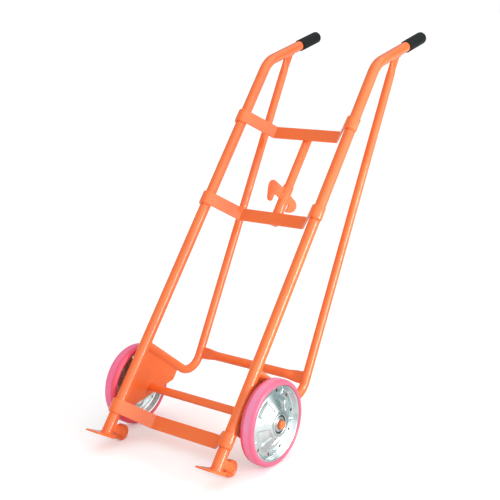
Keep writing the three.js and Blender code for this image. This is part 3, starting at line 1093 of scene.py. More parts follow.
class WeldBead(Recipe):
    """Rippled weld beads that follow drawn paths."""

    sizes = {"Bead Radius": 0.0026, "Ripple Pitch": 0.0046, "Ripple Depth": 0.13, "Seed": 4}
    steps_per_ripple = 4.0

    def __init__(self) -> None:
        """Builds the tree: resample each path, ripple its radius and give it a round section."""
        super().__init__("weld_bead")
        size, pitch = self.ask("Bead Radius"), self.ask("Ripple Pitch")
        depth, seed = self.ask("Ripple Depth"), self.ask("Seed", "Int")
        curve = self.node("GeometryNodeMeshToCurve", {"Mesh": self.given})
        spacing = {"Curve": curve, "Length": pitch / self.steps_per_ripple}
        curve = self.node("GeometryNodeResampleCurve", spacing, mode="LENGTH")
        length = self.node("GeometryNodeSplineParameter", output="Length")
        ripple = (length / pitch * (2 * math.pi)).sine() * depth
        spread = {"Min": 0.9, "Max": 1.1, "Seed": seed}
        chance = self.node("FunctionNodeRandomValue", spread, 1, data_type="FLOAT")
        section = self.node("GeometryNodeCurvePrimitiveCircle", {"Resolution": 10, "Radius": 1.0})
        shape = {"Curve": curve, "Profile Curve": section, "Scale": (ripple + chance) * size}
        self.close(self.node("GeometryNodeCurveToMesh", {**shape, "Fill Caps": True}))

    def lay(self, name: str, paths: Sequence[tuple[Sequence[Vector], bool]]) -> bpy.types.Object:
        """Lays beads along paths.

        Args:
            name: The name of the piece that they make together.
            paths: Each bead's path in the truck's axes, and whether it closes on itself.

        Returns:
            One mesh for them all.
        """
        points: list[Vector] = []
        edges: list[tuple[int, int]] = []
        for path, closed in paths:
            start = len(points)
            points.extend(axes.matrix @ Vector(p) for p in path)
            edges.extend((i, i + 1) for i in range(start, len(points) - 1))
            if closed:
                edges.append((len(points) - 1, start))
        mesh = bpy.data.meshes.new(name + "_path")
        mesh.from_pydata(points, edges, [])
        made = self.run(stand(name + "_path", mesh), name, ENAMEL, self.sizes)
        made.data.shade_smooth()
        return made


class DiscPunch(Recipe):
    """Punches the ring of small round holes into a wheel disc."""

    def __init__(self) -> None:
        """Builds the tree: pins on a circle, turned to the axle's direction, cut from the disc."""
        super().__init__("disc_punch")
        count = self.ask("Hole Count", "Int")
        ring, hole = self.ask("Hole Circle"), self.ask("Hole Radius")
        turn, place = self.ask("Turn"), self.ask("Centre", "Vector")
        spots = self.node("GeometryNodeMeshCircle", {"Vertices": count, "Radius": ring})
        pin_size = {"Vertices": 24, "Radius": hole, "Depth": 0.03}
        pin = self.node("GeometryNodeMeshCylinder", pin_size)
        pins = self.node("GeometryNodeInstanceOnPoints", {"Points": spots, "Instance": pin})
        pins = self.node("GeometryNodeRealizeInstances", {"Geometry": pins})
        spin = self.node("ShaderNodeCombineXYZ", {"Z": turn})
        pins = self.node("GeometryNodeTransform", {"Geometry": pins, "Rotation": spin})
        to_axle = {"Geometry": pins, "Rotation": (0.0, math.pi / 2, 0.0), "Translation": place}
        pins = self.node("GeometryNodeTransform", to_axle)
        both = {"Mesh 1": self.given, "Mesh 2": pins}
        cut = self.node("GeometryNodeMeshBoolean", both, "Mesh", operation="DIFFERENCE", solver="EXACT")
        self.close(cut)


class LugRing(Recipe):
    """Copies one folded lug evenly round a circle."""

    def __init__(self) -> None:
        """Builds the tree: as many lugs as are asked for, each turned on by one step about the axle."""
        super().__init__("lug_ring")
        count, turn = self.ask("Lug Count", "Int"), self.ask("Turn")
        place = self.ask("Centre", "Vector")
        index = self.node("GeometryNodeInputIndex")
        spots = self.node("GeometryNodePoints", {"Count": count})
        spin = self.node("ShaderNodeCombineXYZ", {"X": index * (2 * math.pi / count) + turn})
        copies = {"Points": spots, "Instance": self.given, "Rotation": spin}
        lugs = self.node("GeometryNodeInstanceOnPoints", copies)
        self.close(self.node("GeometryNodeTransform", {"Geometry": lugs, "Translation": place}))


# Frame of tubes and plates


def toe_top(back: float) -> float:
    """The height of a toe's sloping top at a distance behind the rail's axis."""
    return TOE_TOP + (back - RAIL_RADIUS) * TOE_SLOPE


@dataclass(frozen=True)
class Tube:
    """A round tube that may be squashed flat towards its ends.

    The section changes over squash_share of flat_length, and stays flat up to the end. Where it is flat,
    the bore's half thickness is less than the outer line's by bore_share of the wall.
    """

    radius: float
    wall: float
    sides: int
    flat_length: float = 0.0
    flat_thin: float = 0.0
    flat_wide: float = 0.0
    squash_share: float = 0.8
    bore_share: float = 0.75

    def section(self, distance: float, wall: float) -> list[Point2]:
        """The tube's outer line at a distance from its flattened end, or the bore's line.

        Args:
            distance: The distance from the flattened end.
            wall: What is taken off for the bore, or 0 for the outer line.

        Returns:
            The line's points.
        """
        radius = self.radius - wall
        if distance >= self.flat_length:
            return circle(radius, self.sides)
        share = smoothstep(self.flat_length - distance, 0.0, self.flat_length * self.squash_share)
        thin, wide = self.flat_thin - wall * self.bore_share, self.flat_wide - wall
        return flattened(radius, share, thin, wide, self.sides)

    def loops(self, stations: Sequence[Station], ends: Sequence[Vector] = ()) -> list[list[Vector]]:
        """The loops of the tube's wall, along its outside and back through its bore.

        Args:
            stations: The stations along the tube's axis.
            ends: The ends towards which the tube is squashed flat.

        Returns:
            The loops, which close on themselves; the first and the last are at one end.
        """
        far = [min([(s.point - end).length for end in ends] or [math.inf]) for s in stations]
        outer = [s.ring(self.section(left, 0.0)) for s, left in zip(stations, far)]
        inner = [s.ring(self.section(left, self.wall)) for s, left in zip(stations, far)]
        return [*outer, *reversed(inner)]


@dataclass
class Rails:
    """The two bent rails with their handles and grips."""

    tube: Tube = Tube(radius=RAIL_RADIUS, wall=2.3, sides=56)
    low: float = -6.0
    top: float = 1331.0
    bend: float = 100.0
    tilt_degrees: float = 37.9
    handle: float = 306.0
    toe_gap: float = 0.6
    grip_length: float = 116.0
    grip_radius: float = 20.0
    grip_end: float = 4.3
    grip_gap: float = 0.25

    @property
    def handle_direction(self) -> Vector:
        """The handle's direction, back and up from the rail."""
        tilt = math.radians(self.tilt_degrees)
        return Vector((0.0, math.sin(tilt), math.cos(tilt)))

    def on_handle(self, side: Side, distance: float) -> Vector:
        """A point on the handle's axis, at a distance from the rail's corner."""
        return Vector((side.value * RAIL_X, 0.0, self.top)) + self.handle_direction * distance

    def build(self) -> None:
        """Draws both rails and both grips."""
        for side in Side:
            self.build_rail(side)
            self.build_grip(side)

    def build_rail(self, side: Side) -> None:
        """Draws one rail as a bent tube whose foot is cut to the toe's slope.

        Args:
            side: The rail's side.
        """
        x = side.value * RAIL_X
        corners = [Vector((x, 0, self.low)), Vector((x, 0, self.top)), self.on_handle(side, self.handle)]
        loops = self.tube.loops(bent(corners, self.bend))
        for point in (*loops[0], *loops[-1]):
            point.z = toe_top(point.y) - self.toe_gap
        Draft().loft(loops, wrap=True).settle(f"{side.label}_rail_tube", f"{side.label}_rail")

    def build_grip(self, side: Side) -> None:
        """Draws one moulded grip with a rounded front edge and a domed, closed end.

        Args:
            side: The grip's side.
        """
        base = self.on_handle(side, self.handle + self.grip_end - self.grip_length)
        along = self.handle_direction
        up = along.cross(ACROSS)
        length, radius, bore = self.grip_length, self.grip_radius, RAIL_RADIUS + self.grip_gap
        corners = [
            (0.0, bore, 0.4),
            (0.0, radius, 1.2),
            (length * 0.5, radius, 0.0),
            (length, radius, 9.0),
            (length, 0.0, 0.0),
            (length - self.grip_end, 0.0, 0.0),
            (length - self.grip_end, bore, 0.5),
        ]
        draft = Draft().turned(
            softened(corners, steps=8),
            sides=self.tube.sides,
            lay=lambda t, a, b: base + along * t + ACROSS * a + up * b,
        )
        draft.settle(f"{side.label}_hand_grip", f"{side.label}_grip", finish=GripRubber())


@dataclass
class Struts:
    """The two J-bent rear struts with flattened tops, and the tube across them."""

    rails: Rails
    tube: Tube = Tube(
        radius=13.6, wall=2.3, sides=48, flat_length=90.0, flat_thin=4.5, flat_wide=20.5
    )
    cross: Tube = Tube(
        radius=14.3, wall=2.0, sides=48, flat_length=63.0, flat_thin=3.5, flat_wide=19.0
    )
    leg: float = 290.0
    reach: float = 278.0
    bend: float = 60.0
    foot_sunk: float = 3.5
    top_distance: float = 135.0
    top_stations: int = 22
    top_lead: float = 1.05
    cross_height: float = 369.5
    cross_sunk: float = 2.0
    cross_stations: int = 90

    def corner(self, x: float) -> Vector:
        """The strut's bend corner."""
        return Vector((x, self.reach, self.leg))

    def top(self, side: Side) -> Vector:
        """The strut's end on the handle's axis."""
        return self.rails.on_handle(side, self.top_distance)

    @property
    def direction(self) -> Vector:
        """The long run's direction, upwards."""
        return (self.top(Side.RIGHT) - self.corner(RAIL_X)).normalized()

    def crossing(self, x: float) -> Vector:
        """The point on a strut's axis where the cross tube meets it."""
        run = self.direction
        return self.corner(x) + run * ((self.cross_height - self.leg) / run.z)

    def build(self) -> None:
        """Draws both struts and the cross tube."""
        for side in Side:
            self.build_strut(side)
        self.build_cross()

    def build_strut(self, side: Side) -> None:
        """Draws one strut.

        Args:
            side: The strut's side.
        """
        x, top = side.value * RAIL_X, self.top(side)
        corners = [Vector((x, RAIL_RADIUS - self.foot_sunk, self.leg)), self.corner(x), top]
        *lower, last = bent(corners, self.bend)
        squashed_from = last.point - last.along * self.tube.flat_length * self.top_lead
        start = Station(squashed_from, last.along, ACROSS)
        stations = [*lower, start, *evenly(start, last, self.top_stations)]
        draft = Draft().loft(self.tube.loops(stations, [top]), wrap=True)
        draft.settle(f"{side.label}_strut_tube", f"{side.label}_rear_strut")

    def build_cross(self) -> None:
        """Draws the tube across the struts, flattened at both ends."""
        reach = RAIL_X - self.tube.radius + self.cross_sunk
        ends = [self.crossing(sign * reach) for sign in (-1, 1)]
        first, last = (Station(end, ACROSS, self.direction.cross(ACROSS)) for end in ends)
        stations = [first, *evenly(first, last, self.cross_stations)]
        Draft().loft(self.cross.loops(stations, ends), wrap=True).settle("cross_tube", "rear_cross_tube")


@dataclass
class Plates:
    """The flat parts of the frame: the gussets and the straps round the rails."""

    gusset_thickness: float = 6.0
    gusset_edge: float = 0.9
    gusset_rear: float = 188.0
    gusset_top: float = 276.7
    gusset_rear_low: float = 243.1
    gusset_foot: float = 108.0
    gusset_foot_reach: float = 60.0
    gusset_sunk: float = 0.8
    strap_thickness: float = 6.0
    strap_edge: float = 1.3
    strap_height: float = 42.0
    strap_setback: float = 76.0
    strap_half_span: float = 122.0
    strap_bend: float = 9.0
    strap_gap: float = 0.15
    strap_ups: tuple[float, float, float] = (83.0, 795.5, 1105.5)
    strap_names: tuple[str, str, str] = ("lower", "middle", "upper")

    def build(self) -> None:
        """Draws gussets and straps."""
        for side in Side:
            self.build_gusset(side)
        for name, up in zip(self.strap_names, self.strap_ups):
            self.build_strap(name, up)

    def build_gusset(self, side: Side) -> None:
        """Draws one gusset plate.

        Args:
            side: The gusset's side.
        """
        front = RAIL_RADIUS - self.gusset_sunk
        corners = [
            (front, self.gusset_foot, 2.0),
            (self.gusset_foot_reach, self.gusset_foot, 14.0),
            (self.gusset_rear, self.gusset_rear_low, 12.0),
            (self.gusset_rear, self.gusset_top, 2.0),
            (front, self.gusset_top, 2.0),
        ]
        lay = flat_on(side.value * RAIL_X)
        draft = Draft().plate(softened(corners, steps=8), self.gusset_thickness, self.gusset_edge, lay)
        draft.settle(f"{side.label}_gusset_plate", f"{side.label}_gusset")

    def strap_line(self, wrap_steps: int = 40, bend_steps: int = 12) -> list[tuple[Vector, Vector]]:
        """Half a strap's middle line, from its free end round the rail to its flat middle.

        Args:
            wrap_steps: How many chords lead round the rail.
            bend_steps: How many chords make the bend.

        Returns:
            Points, each with the direction square to the line.
        """
        wrap = RAIL_RADIUS + self.strap_gap + self.strap_thickness / 2
        middle = self.strap_setback + self.strap_thickness / 2
        centre = Vector((RAIL_X, 0.0))
        to_corner = Vector((self.strap_half_span, middle)) - centre
        leaves = math.atan2(to_corner.y, to_corner.x) + math.acos(wrap / to_corner.length)
        line = []
        for step in range(wrap_steps + 1):
            angle = 2 * math.pi + (leaves - 2 * math.pi) * step / wrap_steps
            square = Vector((math.cos(angle), math.sin(angle)))
            line.append((centre + square * wrap, square))
        leg = line[-1][1]
        turn = math.acos(leg.dot(Vector((0.0, -1.0))))
        set_off = self.strap_bend * math.tan(turn / 2)
        bend = Vector((self.strap_half_span - set_off, middle - self.strap_bend))
        for step in range(bend_steps + 1):
            angle = math.atan2(leg.y, leg.x) + turn * step / bend_steps
            square = Vector((math.cos(angle), math.sin(angle)))
            line.append((bend - square * self.strap_bend, square))
        return line

    def build_strap(self, name: str, up: float) -> None:
        """Draws one strap: a flat bar with rounded edges, wrapped round both rails.

        Args:
            name: The strap's name.
            up: The height of its middle.
        """
        half = self.strap_line()
        other = [(Vector((-p.x, p.y)), Vector((-s.x, s.y))) for p, s in reversed(half)]
        h, t, edge = self.strap_height / 2, self.strap_thickness / 2, self.strap_edge
        section = softened([(-h, -t, edge), (h, -t, edge), (h, t, edge), (-h, t, edge)])
        loops = [
            [Vector((p.x + s.x * b, p.y + s.y * b, up + a)) for a, b in section]
            for p, s in (*half, *other)
        ]
        Draft().loft(loops).settle(f"{name}_strap_bar", f"{name}_strap")


@dataclass
class Toes:
    """The toe wedges with the rollers, forks and pins behind them.

    roller_rim and roller_boss each give two radii of the roller's face: at its level, and at the foot
    of the step down to the recess.
    """

    width: float = 52.0
    edge: float = 1.8
    reach: float = 62.0
    tip: float = 5.2
    root: float = 13.0
    roller_width: float = 18.0
    roller_recess: float = 0.8
    roller_gap: float = 0.3
    roller_rim: Point2 = (19.6, 18.5)
    roller_boss: Point2 = (9.0, 10.0)
    fork_start: float = 11.4
    fork_offset: float = 11.6
    fork_thickness: float = 4.0
    fork_edge: float = 0.8
    fork_half_height: float = 12.0
    pin_radius: float = 5.0
    pin_head: float = 2.8
    pin_head_radius: float = 7.0

    def build(self) -> None:
        """Draws toes, forks, rollers and pins on both sides."""
        for side in Side:
            self.build_toe(side)
            for face in Face:
                self.build_fork(side, face)
            self.build_roller(side)
            self.build_pin(side)

    def build_toe(self, side: Side) -> None:
        """Draws one toe wedge with rounded edges.

        Args:
            side: The toe's side.
        """
        front, back = toe_top(-self.reach), toe_top(RAIL_RADIUS)
        corners = [
            (-self.reach, front, 2.2),
            (-self.reach, front - self.tip, 2.2),
            (RAIL_RADIUS, back - self.root, 2.0),
            (RAIL_RADIUS, back, 2.0),
        ]
        lay = flat_on(side.value * RAIL_X)
        draft = Draft().plate(softened(corners, steps=5), self.width, self.edge, lay)
        draft.settle(f"{side.label}_toe_wedge", f"{side.label}_toe")

    def build_fork(self, side: Side, face: Face) -> None:
        """Draws one fork plate with a rounded end round the pin.

        Args:
            side: The fork's side.
            face: Which of the roller's faces it stands on.
        """
        half = self.fork_half_height
        outline = [
            (self.fork_start, ROLLER_UP - half),
            *arc((ROLLER_BACK, ROLLER_UP), half, -90.0, 90.0, steps=24),
            (self.fork_start, ROLLER_UP + half),
        ]
        lay = flat_on(side.value * (RAIL_X + face.value * self.fork_offset))
        name = f"{side.label}_{face.label}_fork"
        draft = Draft().plate(outline, self.fork_thickness, self.fork_edge, lay)
        draft.settle(f"{name}_plate", name)

    def build_roller(self, side: Side) -> None:
        """Draws one steel roller with eased edges, recessed faces and a bore.

        Args:
            side: The roller's side.
        """
        half, sunk = self.roller_width / 2, self.roller_width / 2 - self.roller_recess
        (rim, rim_foot), (boss, boss_foot) = self.roller_rim, self.roller_boss
        corners = mirrored([
            (half, ROLLER_RADIUS, 1.6),
            (half, rim, 0.6),
            (sunk, rim_foot, 0.8),
            (sunk, boss_foot, 0.0),
            (half, boss, 0.0),
            (half, self.pin_radius + self.roller_gap, 0.4),
        ])
        lay = about_x(side.value * RAIL_X, ROLLER_BACK, ROLLER_UP)
        draft, name = Draft().turned(softened(corners), sides=72, lay=lay), f"{side.label}_roller"
        draft.settle(f"{name}_wheel", name, body=Body(f"{side.label}_toe_roller"))

    def build_pin(self, side: Side) -> None:
        """Draws one pin with domed heads.

        Args:
            side: The pin's side.
        """
        reach = self.fork_offset + self.fork_thickness / 2
        dome = [
            (reach + self.pin_head * math.sin(a), self.pin_head_radius * math.cos(a))
            for a in map(math.radians, range(0, 90, 15))
        ]
        section = mirrored([(reach, self.pin_radius), *dome, (reach + self.pin_head, 0.0)])
        lay = about_x(side.value * RAIL_X, ROLLER_BACK, ROLLER_UP)
        name = f"{side.label}_roller_pin"
        Draft().turned(section, sides=40, lay=lay).settle(f"{name}_rivet", name)


# Hook


@dataclass
class Hook:
    """The slide bar and the drum hook: a sleeve with a large front claw and a small rear claw.

    The claws' outlines are given as distances from the bar's axis and heights above claw_up.
    """

    bar_radius: float = 14.3
    bar_low: float = 782.5
    bar_high: float = 1118.5
    sleeve_low: float = 816.8
    sleeve_length: float = 105.0
    sleeve_radius: float = 17.0
    sleeve_gap: float = 0.6
    claw_up: float = 863.3
    claw_thickness: float = 6.0
    claw_edge: float = 1.5
    front: tuple[Point2, ...] = (
        (15.6, 4.2), (29.0, 2.8), (42.0, 2.2), (50.5, 1.0), (55.2, -2.6), (56.2, -10.0),
        (56.0, -19.0), (60.0, -27.0), (69.0, -30.5), (79.0, -27.6), (88.0, -13.0), (95.6, 2.0),
        (98.6, 16.0), (95.0, 27.0), (84.0, 34.6), (66.0, 37.2), (45.0, 38.4), (31.0, 40.2),
        (20.0, 43.8), (15.6, 46.0),
    )
    rear: tuple[Point2, ...] = (
        (15.6, 6.2), (24.0, 6.8), (32.6, 8.6), (35.4, 6.0), (34.4, -4.0), (32.6, -13.2),
        (36.2, -15.2), (50.0, -9.8), (65.0, 0.6), (74.6, 12.0), (76.2, 24.0), (70.0, 33.6),
        (59.0, 38.0), (38.0, 38.6), (15.6, 37.6),
    )

    def build(self) -> None:
        """Draws bar, sleeve and claws."""
        self.build_bar()
        self.build_sleeve()
        self.build_claw("front_claw", self.front, -1.0)
        self.build_claw("rear_claw", self.rear, 1.0)

    def upright(self, low: float) -> Lay:
        """Lays a turned shape about the slide bar's axis."""
        return lambda along, across, up: Vector((across, BAR_BACK + up, low + along))

    def build_bar(self) -> None:
        """Draws the slide bar with eased ends."""
        section = barrel(0.0, self.bar_high - self.bar_low, (self.bar_radius, 1.2), (0.0, 0.0))
        draft = Draft().turned(section, sides=56, lay=self.upright(self.bar_low))
        draft.settle("slide_bar_rod", "slide_bar")

    def build_sleeve(self) -> None:
        """Draws the sleeve with a bore and eased ends."""
        outer, inner = (self.sleeve_radius, 1.1), (self.bar_radius + self.sleeve_gap, 0.5)
        section = barrel(0.0, self.sleeve_length, outer, inner)
        draft = Draft().turned(section, sides=64, lay=self.upright(self.sleeve_low))
        draft.settle("sleeve_tube", "hook_sleeve", body=Body.SLIDER)

    def build_claw(self, node: str, outline: tuple[Point2, ...], way: float) -> None:
        """Draws one claw as a thick plate with well rounded edges.

        Args:
            node: The claw's CAD node.
            outline: The claw's outline.
            way: -1 for a claw that points forwards, 1 for one that points back.
        """
        lay = flat_on(0.0, BAR_BACK, self.claw_up, way)
        draft = Draft().plate(curved(outline, steps=5), self.claw_thickness, self.claw_edge, lay)
        draft.settle(f"{node}_plate", node, body=Body.CLAWS)


# Axle and wheels


@dataclass
class Axle:
    """The axle with its spacers and retaining clips."""

    half_length: float = 297.0
    groove: float = 286.5
    groove_width: float = 2.0
    groove_depth: float = 0.9
    spacer_start: float = 211.3
    spacer_end: float = 229.2
    spacer_radius: float = 16.0
    spacer_gap: float = 0.3
    clip_at: float = 287.5
    clip_thickness: float = 1.4
    clip_edge: float = 0.3
    clip_inner: float = 11.9
    clip_outer: float = 15.6
    clip_swell: float = 0.9
    clip_half_gap_degrees: float = 34.0
    clip_turn_degrees: tuple[float, float] = (20.0, -40.0)

    def build(self) -> None:
        """Draws axle, spacers and clips."""
        self.build_axle()
        for side, turn in zip(Side, self.clip_turn_degrees):
            self.build_spacer(side)
            self.build_clip(side, turn)

    def build_axle(self) -> None:
        """Draws the axle with eased ends and a groove near each."""
        start, end, deep = self.groove, self.groove + self.groove_width, AXLE_RADIUS - self.groove_depth
        corners = mirrored([
            (start, AXLE_RADIUS, 0.0),
            (start, deep, 0.0),
            (end, deep, 0.0),
            (end, AXLE_RADIUS, 0.0),
            (self.half_length, AXLE_RADIUS, 1.0),
            (self.half_length, 0.0, 0.0),
        ])
        draft = Draft().turned(softened(corners), sides=56, lay=about_x(0.0, AXLE_BACK, AXLE_UP))
        draft.settle("axle_rod", "axle")

    def build_spacer(self, side: Side) -> None:
        """Draws one spacer tube between gusset and wheel.

        Args:
            side: The spacer's side.
        """
        outer, inner = (self.spacer_radius, 0.9), (AXLE_RADIUS + self.spacer_gap, 0.4)
        section = barrel(self.spacer_start, self.spacer_end, outer, inner)
        name = f"{side.label}_wheel_spacer"
        draft = Draft().turned(section, sides=56, lay=about_x(0.0, AXLE_BACK, AXLE_UP, side.value))
        draft.settle(f"{name}_tube", name)

    def build_clip(self, side: Side, turn_degrees: float) -> None:
        """Draws one open retaining ring, thickest opposite its gap.

        Args:
            side: The clip's side.
            turn_degrees: How far it is turned on the axle.
        """
        gap = self.clip_half_gap_degrees
        outer = arc((0.0, 0.0), 1.0, gap, 360 - gap, steps=40)
        swollen = [
            Vector(p) * (self.clip_outer + self.clip_swell * (1 - p[0]) / 2) for p in outer
        ]
        inner = [Vector(p) for p in arc((0.0, 0.0), self.clip_inner, 360 - gap, gap, steps=40)]
        turn = Matrix.Rotation(math.radians(turn_degrees), 2)
        outline = [tuple(turn @ p) for p in (*swollen, *inner)]
        lay = flat_on(side.value * self.clip_at, AXLE_BACK, AXLE_UP)
        name = f"{side.label}_axle_clip"
        draft = Draft().plate(outline, self.clip_thickness, self.clip_edge, lay)
        draft.settle(f"{name}_ring", name, finish=STEEL)


@dataclass
class Wheel:
    """One wheel: a rubber tyre on two pressed discs, with a hub and two bearings.

    Radii are distances from the axle. The lug's foot and crest are given by the radii where they start
    and end, and the steps of a bearing's shield as (depth below the face, radius, rounding).
    """

    side: Side
    tyre_width: float = 43.5
    tyre_gap: float = 0.3
    rim_radius: float = 110.0
    lip_out: float = 19.0
    sheet: float = 2.3
    sheet_gap: float = 0.15
    web_outer: float = 97.0
    web_inner: float = 85.0
    cone_top: float = 40.5
    cone_peak: float = 27.5
    hub_seat: float = 31.9
    hub_radius: float = 31.5
    hub_half: float = 30.5
    hub_land: float = 22.0
    bearing_radius: float = 25.7
    bearing_bore: float = 12.8
    bearing_gap: float = 0.25
    bearing_face: float = 28.5
    bearing_width: float = 15.0
    shield_steps: tuple[Corner, ...] = (
        (0.0, 16.6, 0.4), (1.3, 16.9, 0.0), (1.3, 17.8, 0.0), (0.7, 18.2, 0.3),
        (0.7, 20.8, 0.5), (1.4, 21.6, 0.0), (1.4, 22.4, 0.0), (0.0, 22.8, 0.4),
    )
    petal_depth: float = 5.0
    petal_centre_degrees: float = 25.0
    petal_flat_degrees: float = 17.5
    petal_edge_degrees: float = 22.5
    petal_top: Point2 = (37.0, 45.0)
    petal_foot: Point2 = (66.0, 81.0)
    lug_foot: Point2 = (82.0, 99.0)
    lug_crest: Point2 = (83.0, 98.0)
    lug_width: float = 7.4
    lug_edge: float = 2.6
    lug_tall: float = 3.4
    lug_sunk: float = 0.6
    hole_circle: float = 91.0
    hole_radius: float = 4.75
    hole_start_degrees: float = 7.0
    holes: int = 10
    petals: int = 5
    sides: int = 240

    def lay(self, face: Face = Face.OUTER) -> Lay:
        """Lays a shape about the wheel's centre, outwards or inwards from its middle plane."""
        sign = self.side.value
        return about_x(sign * WHEEL_X, AXLE_BACK, AXLE_UP, sign, sign * face.value)

    @property
    def centre(self) -> Vector:
        """The wheel's centre in the shared frame."""
        return axes.point(self.side.value * WHEEL_X, AXLE_BACK, AXLE_UP)

    @property
    def body(self) -> Body:
        """The body that the wheel's pieces ride on."""
        return Body(self.name("wheel"))

    def name(self, part: str) -> str:
        """A node's name on this wheel's side."""
        return f"{self.side.label}_{part}"

    def build(self, punch: DiscPunch, lugs: LugRing) -> None:
        """Draws every piece of the wheel.

        Args:
            punch: The tree that punches a disc's holes.
            lugs: The tree that copies a lug round a disc.
        """
        self.build_tyre()
        for face in Face:
            self.build_disc(face, punch)
            self.build_lugs(face, lugs)
            self.build_bearing(face)
        self.build_hub()

    def build_tyre(self) -> None:
        """Draws the tyre: rounded shoulders, a low crown and a lip round each rim."""
        out, rim, top = self.tyre_width / 2, self.rim_radius, TYRE_RADIUS
        seat = self.lip_out - self.sheet - self.tyre_gap
        half = [
            (2.5, self.web_outer + 4.0, 0.0),
            (seat, rim - 1.4, 0.0),
            (seat, rim + 0.3, 0.3),
            (self.lip_out + 1.4, rim + 0.3, 0.6),
            (out, rim + 2.4, 2.4),
            (out - 0.4, rim + 7.5, 4.0),
            (out - 3.4, top - 3.0, 5.0),
            (out - 8.0, top - 0.9, 5.0),
            (out - 13.0, top - 0.2, 6.0),
        ]
        crown = (0.0, top - 0.05, 40.0)
        draft = Draft().turned(softened([*mirrored(half), crown], steps=5), sides=176, lay=self.lay())
        names = self.name("tyre_rubber"), self.name("tyre")
        draft.settle(*names, finish=PinkRubber(), body=self.body, sharp_degrees=50.0)

    def disc_section(self) -> list[Point2]:
        """The pressed sheet's closed section.

        Returns:
            Its outer line from the hub's flange to the rim's lip, and its inner line back.
        """
        web = self.sheet + self.sheet_gap
        line = [
            (self.cone_peak + 1.15, self.hub_seat, 0.0),
            (self.cone_peak + 1.1, self.cone_top - 1.5, 3.0),
            (web + 9.0, 64.0, 60.0),
            (web, self.web_inner, 9.0),
            (web, self.web_outer, 5.0),
            (self.lip_out - 0.2, self.rim_radius - 4.2, 3.5),
            (self.lip_out, self.rim_radius, 1.2),
        ]
        return [*self.offset_line(line, 0.0), *reversed(self.offset_line(line, self.sheet))]

    @staticmethod
    def offset_line(line: Sequence[Corner], depth: float, pitch: float = 1.6) -> list[Point2]:
        """Rounds an open line, moves it inwards and samples it finely.

        Args:
            line: The line's corners as (out, radius, rounding).
            depth: How far it moves.
            pitch: The distance between its samples.

        Returns:
            The moved line's points.
        """
        far = -60.0
        closed = [*line, (far, line[-1][1], 0.0), (far, line[0][1], 0.0)]
        smooth = [Vector(p) for p in softened(closed, steps=8)[:-2]]
        dense: list[Vector] = []
        for a, b in zip(smooth, smooth[1:]):
            count = max(1, round((b - a).length / pitch))
            dense.extend(a.lerp(b, i / count) for i in range(count))
        dense.append(smooth[-1])
        result = []
        for i, point in enumerate(dense):
            before, after = dense[max(i - 1, 0)], dense[min(i + 1, len(dense) - 1)]
            run = (after - before).normalized()
            square = Vector((-run.y, run.x))
            if square.x > 0:
                square = -square
            result.append(tuple(point + square * depth))
        return result

    def scoop(self, radius: float, degrees: float) -> float:
        """How deep the pressed petals are at a place on the disc.

        Args:
            radius: The place's distance from the axle.
            degrees: Its angle round the axle.

        Returns:
            The depth.
        """
        step = 360.0 / self.petals
        nearest = (degrees - self.petal_centre_degrees + step / 2) % step - step / 2
        across = 1 - smoothstep(abs(nearest), self.petal_flat_degrees, self.petal_edge_degrees)
        along = smoothstep(radius, *self.petal_top) * (1 - smoothstep(radius, *self.petal_foot))
        return self.petal_depth * across * along

    def build_disc(self, face: Face, punch: DiscPunch) -> None:
        """Draws one pressed disc with scooped petals and punches its holes.

        Args:
            face: The wheel's face that the disc makes.
            punch: The tree that punches the holes.
        """
        section, lay = self.disc_section(), self.lay(face)
        loops = []
        for i, (c, s) in enumerate(circle(1.0, self.sides)):
            degrees = 360 * i / self.sides
            loops.append([lay(a - self.scoop(r, degrees), r * c, r * s) for a, r in section])
        node = self.name(f"{face.label}_disc")
        blank = Draft().loft(loops, wrap=True).piece(f"{node}_pressing", sharp_degrees=40.0)
        start = math.radians(self.hole_start_degrees)
        if self.side is Side.LEFT:
            start = math.pi - start
        values = {
            "Hole Count": self.holes,
            "Hole Circle": self.hole_circle * MILLIMETRE,
            "Hole Radius": self.hole_radius * MILLIMETRE,
            "Turn": start - axes.lean + math.pi / 2,
            "Centre": self.centre,
        }
        settle(punch.run(blank, f"{node}_pressing", ZINC, values), ZINC, self.body, node)

    def build_lugs(self, face: Face, lugs: LugRing) -> None:
        """Draws the folded lugs that hold the two discs together.

        Args:
            face: The wheel's face that the lugs stand on.
            lugs: The tree that copies one lug round the disc.
        """
        lay, web = self.lay(face), self.sheet + self.sheet_gap
        low, high = web - self.lug_sunk, web + self.lug_tall
        (start, end), (crest_start, crest_end) = self.lug_foot, self.lug_crest
        corners = [(start, low, 0.0), (end, low, 0.0), (crest_end, high, 2.4), (crest_start, high, 2.4)]
        draft = Draft().plate(
            softened(corners, steps=5), self.lug_width, self.lug_edge, lambda a, b, t: lay(b, a, t)
        )
        name = self.name(f"{face.label}_disc_lugs")
        source = draft.piece(name)
        source.data.transform(Matrix.Translation(-self.centre))
        turn = math.radians(self.petal_centre_degrees * self.side.value)
        values = {"Lug Count": self.petals, "Turn": turn, "Centre": self.centre}
        settle(lugs.run(source, name, ZINC, values), ZINC, self.body)

    def build_hub(self) -> None:
        """Draws the hub tube with a raised, rounded rim at each end."""
        out, bore = self.hub_half, self.bearing_radius + self.bearing_gap
        seat = self.bearing_face - self.bearing_width - 0.3
        corners = mirrored([
            (seat, self.hub_land, 0.0),
            (seat, bore, 0.4),
            (out - 1.6, bore, 0.5),
            (out, bore + 1.3, 0.6),
            (out, self.hub_radius, 2.2),
        ])
        draft = Draft().turned(softened(corners), sides=96, lay=self.lay())
        draft.settle(self.name("hub_tube"), self.name("hub"), finish=ZINC, body=self.body)

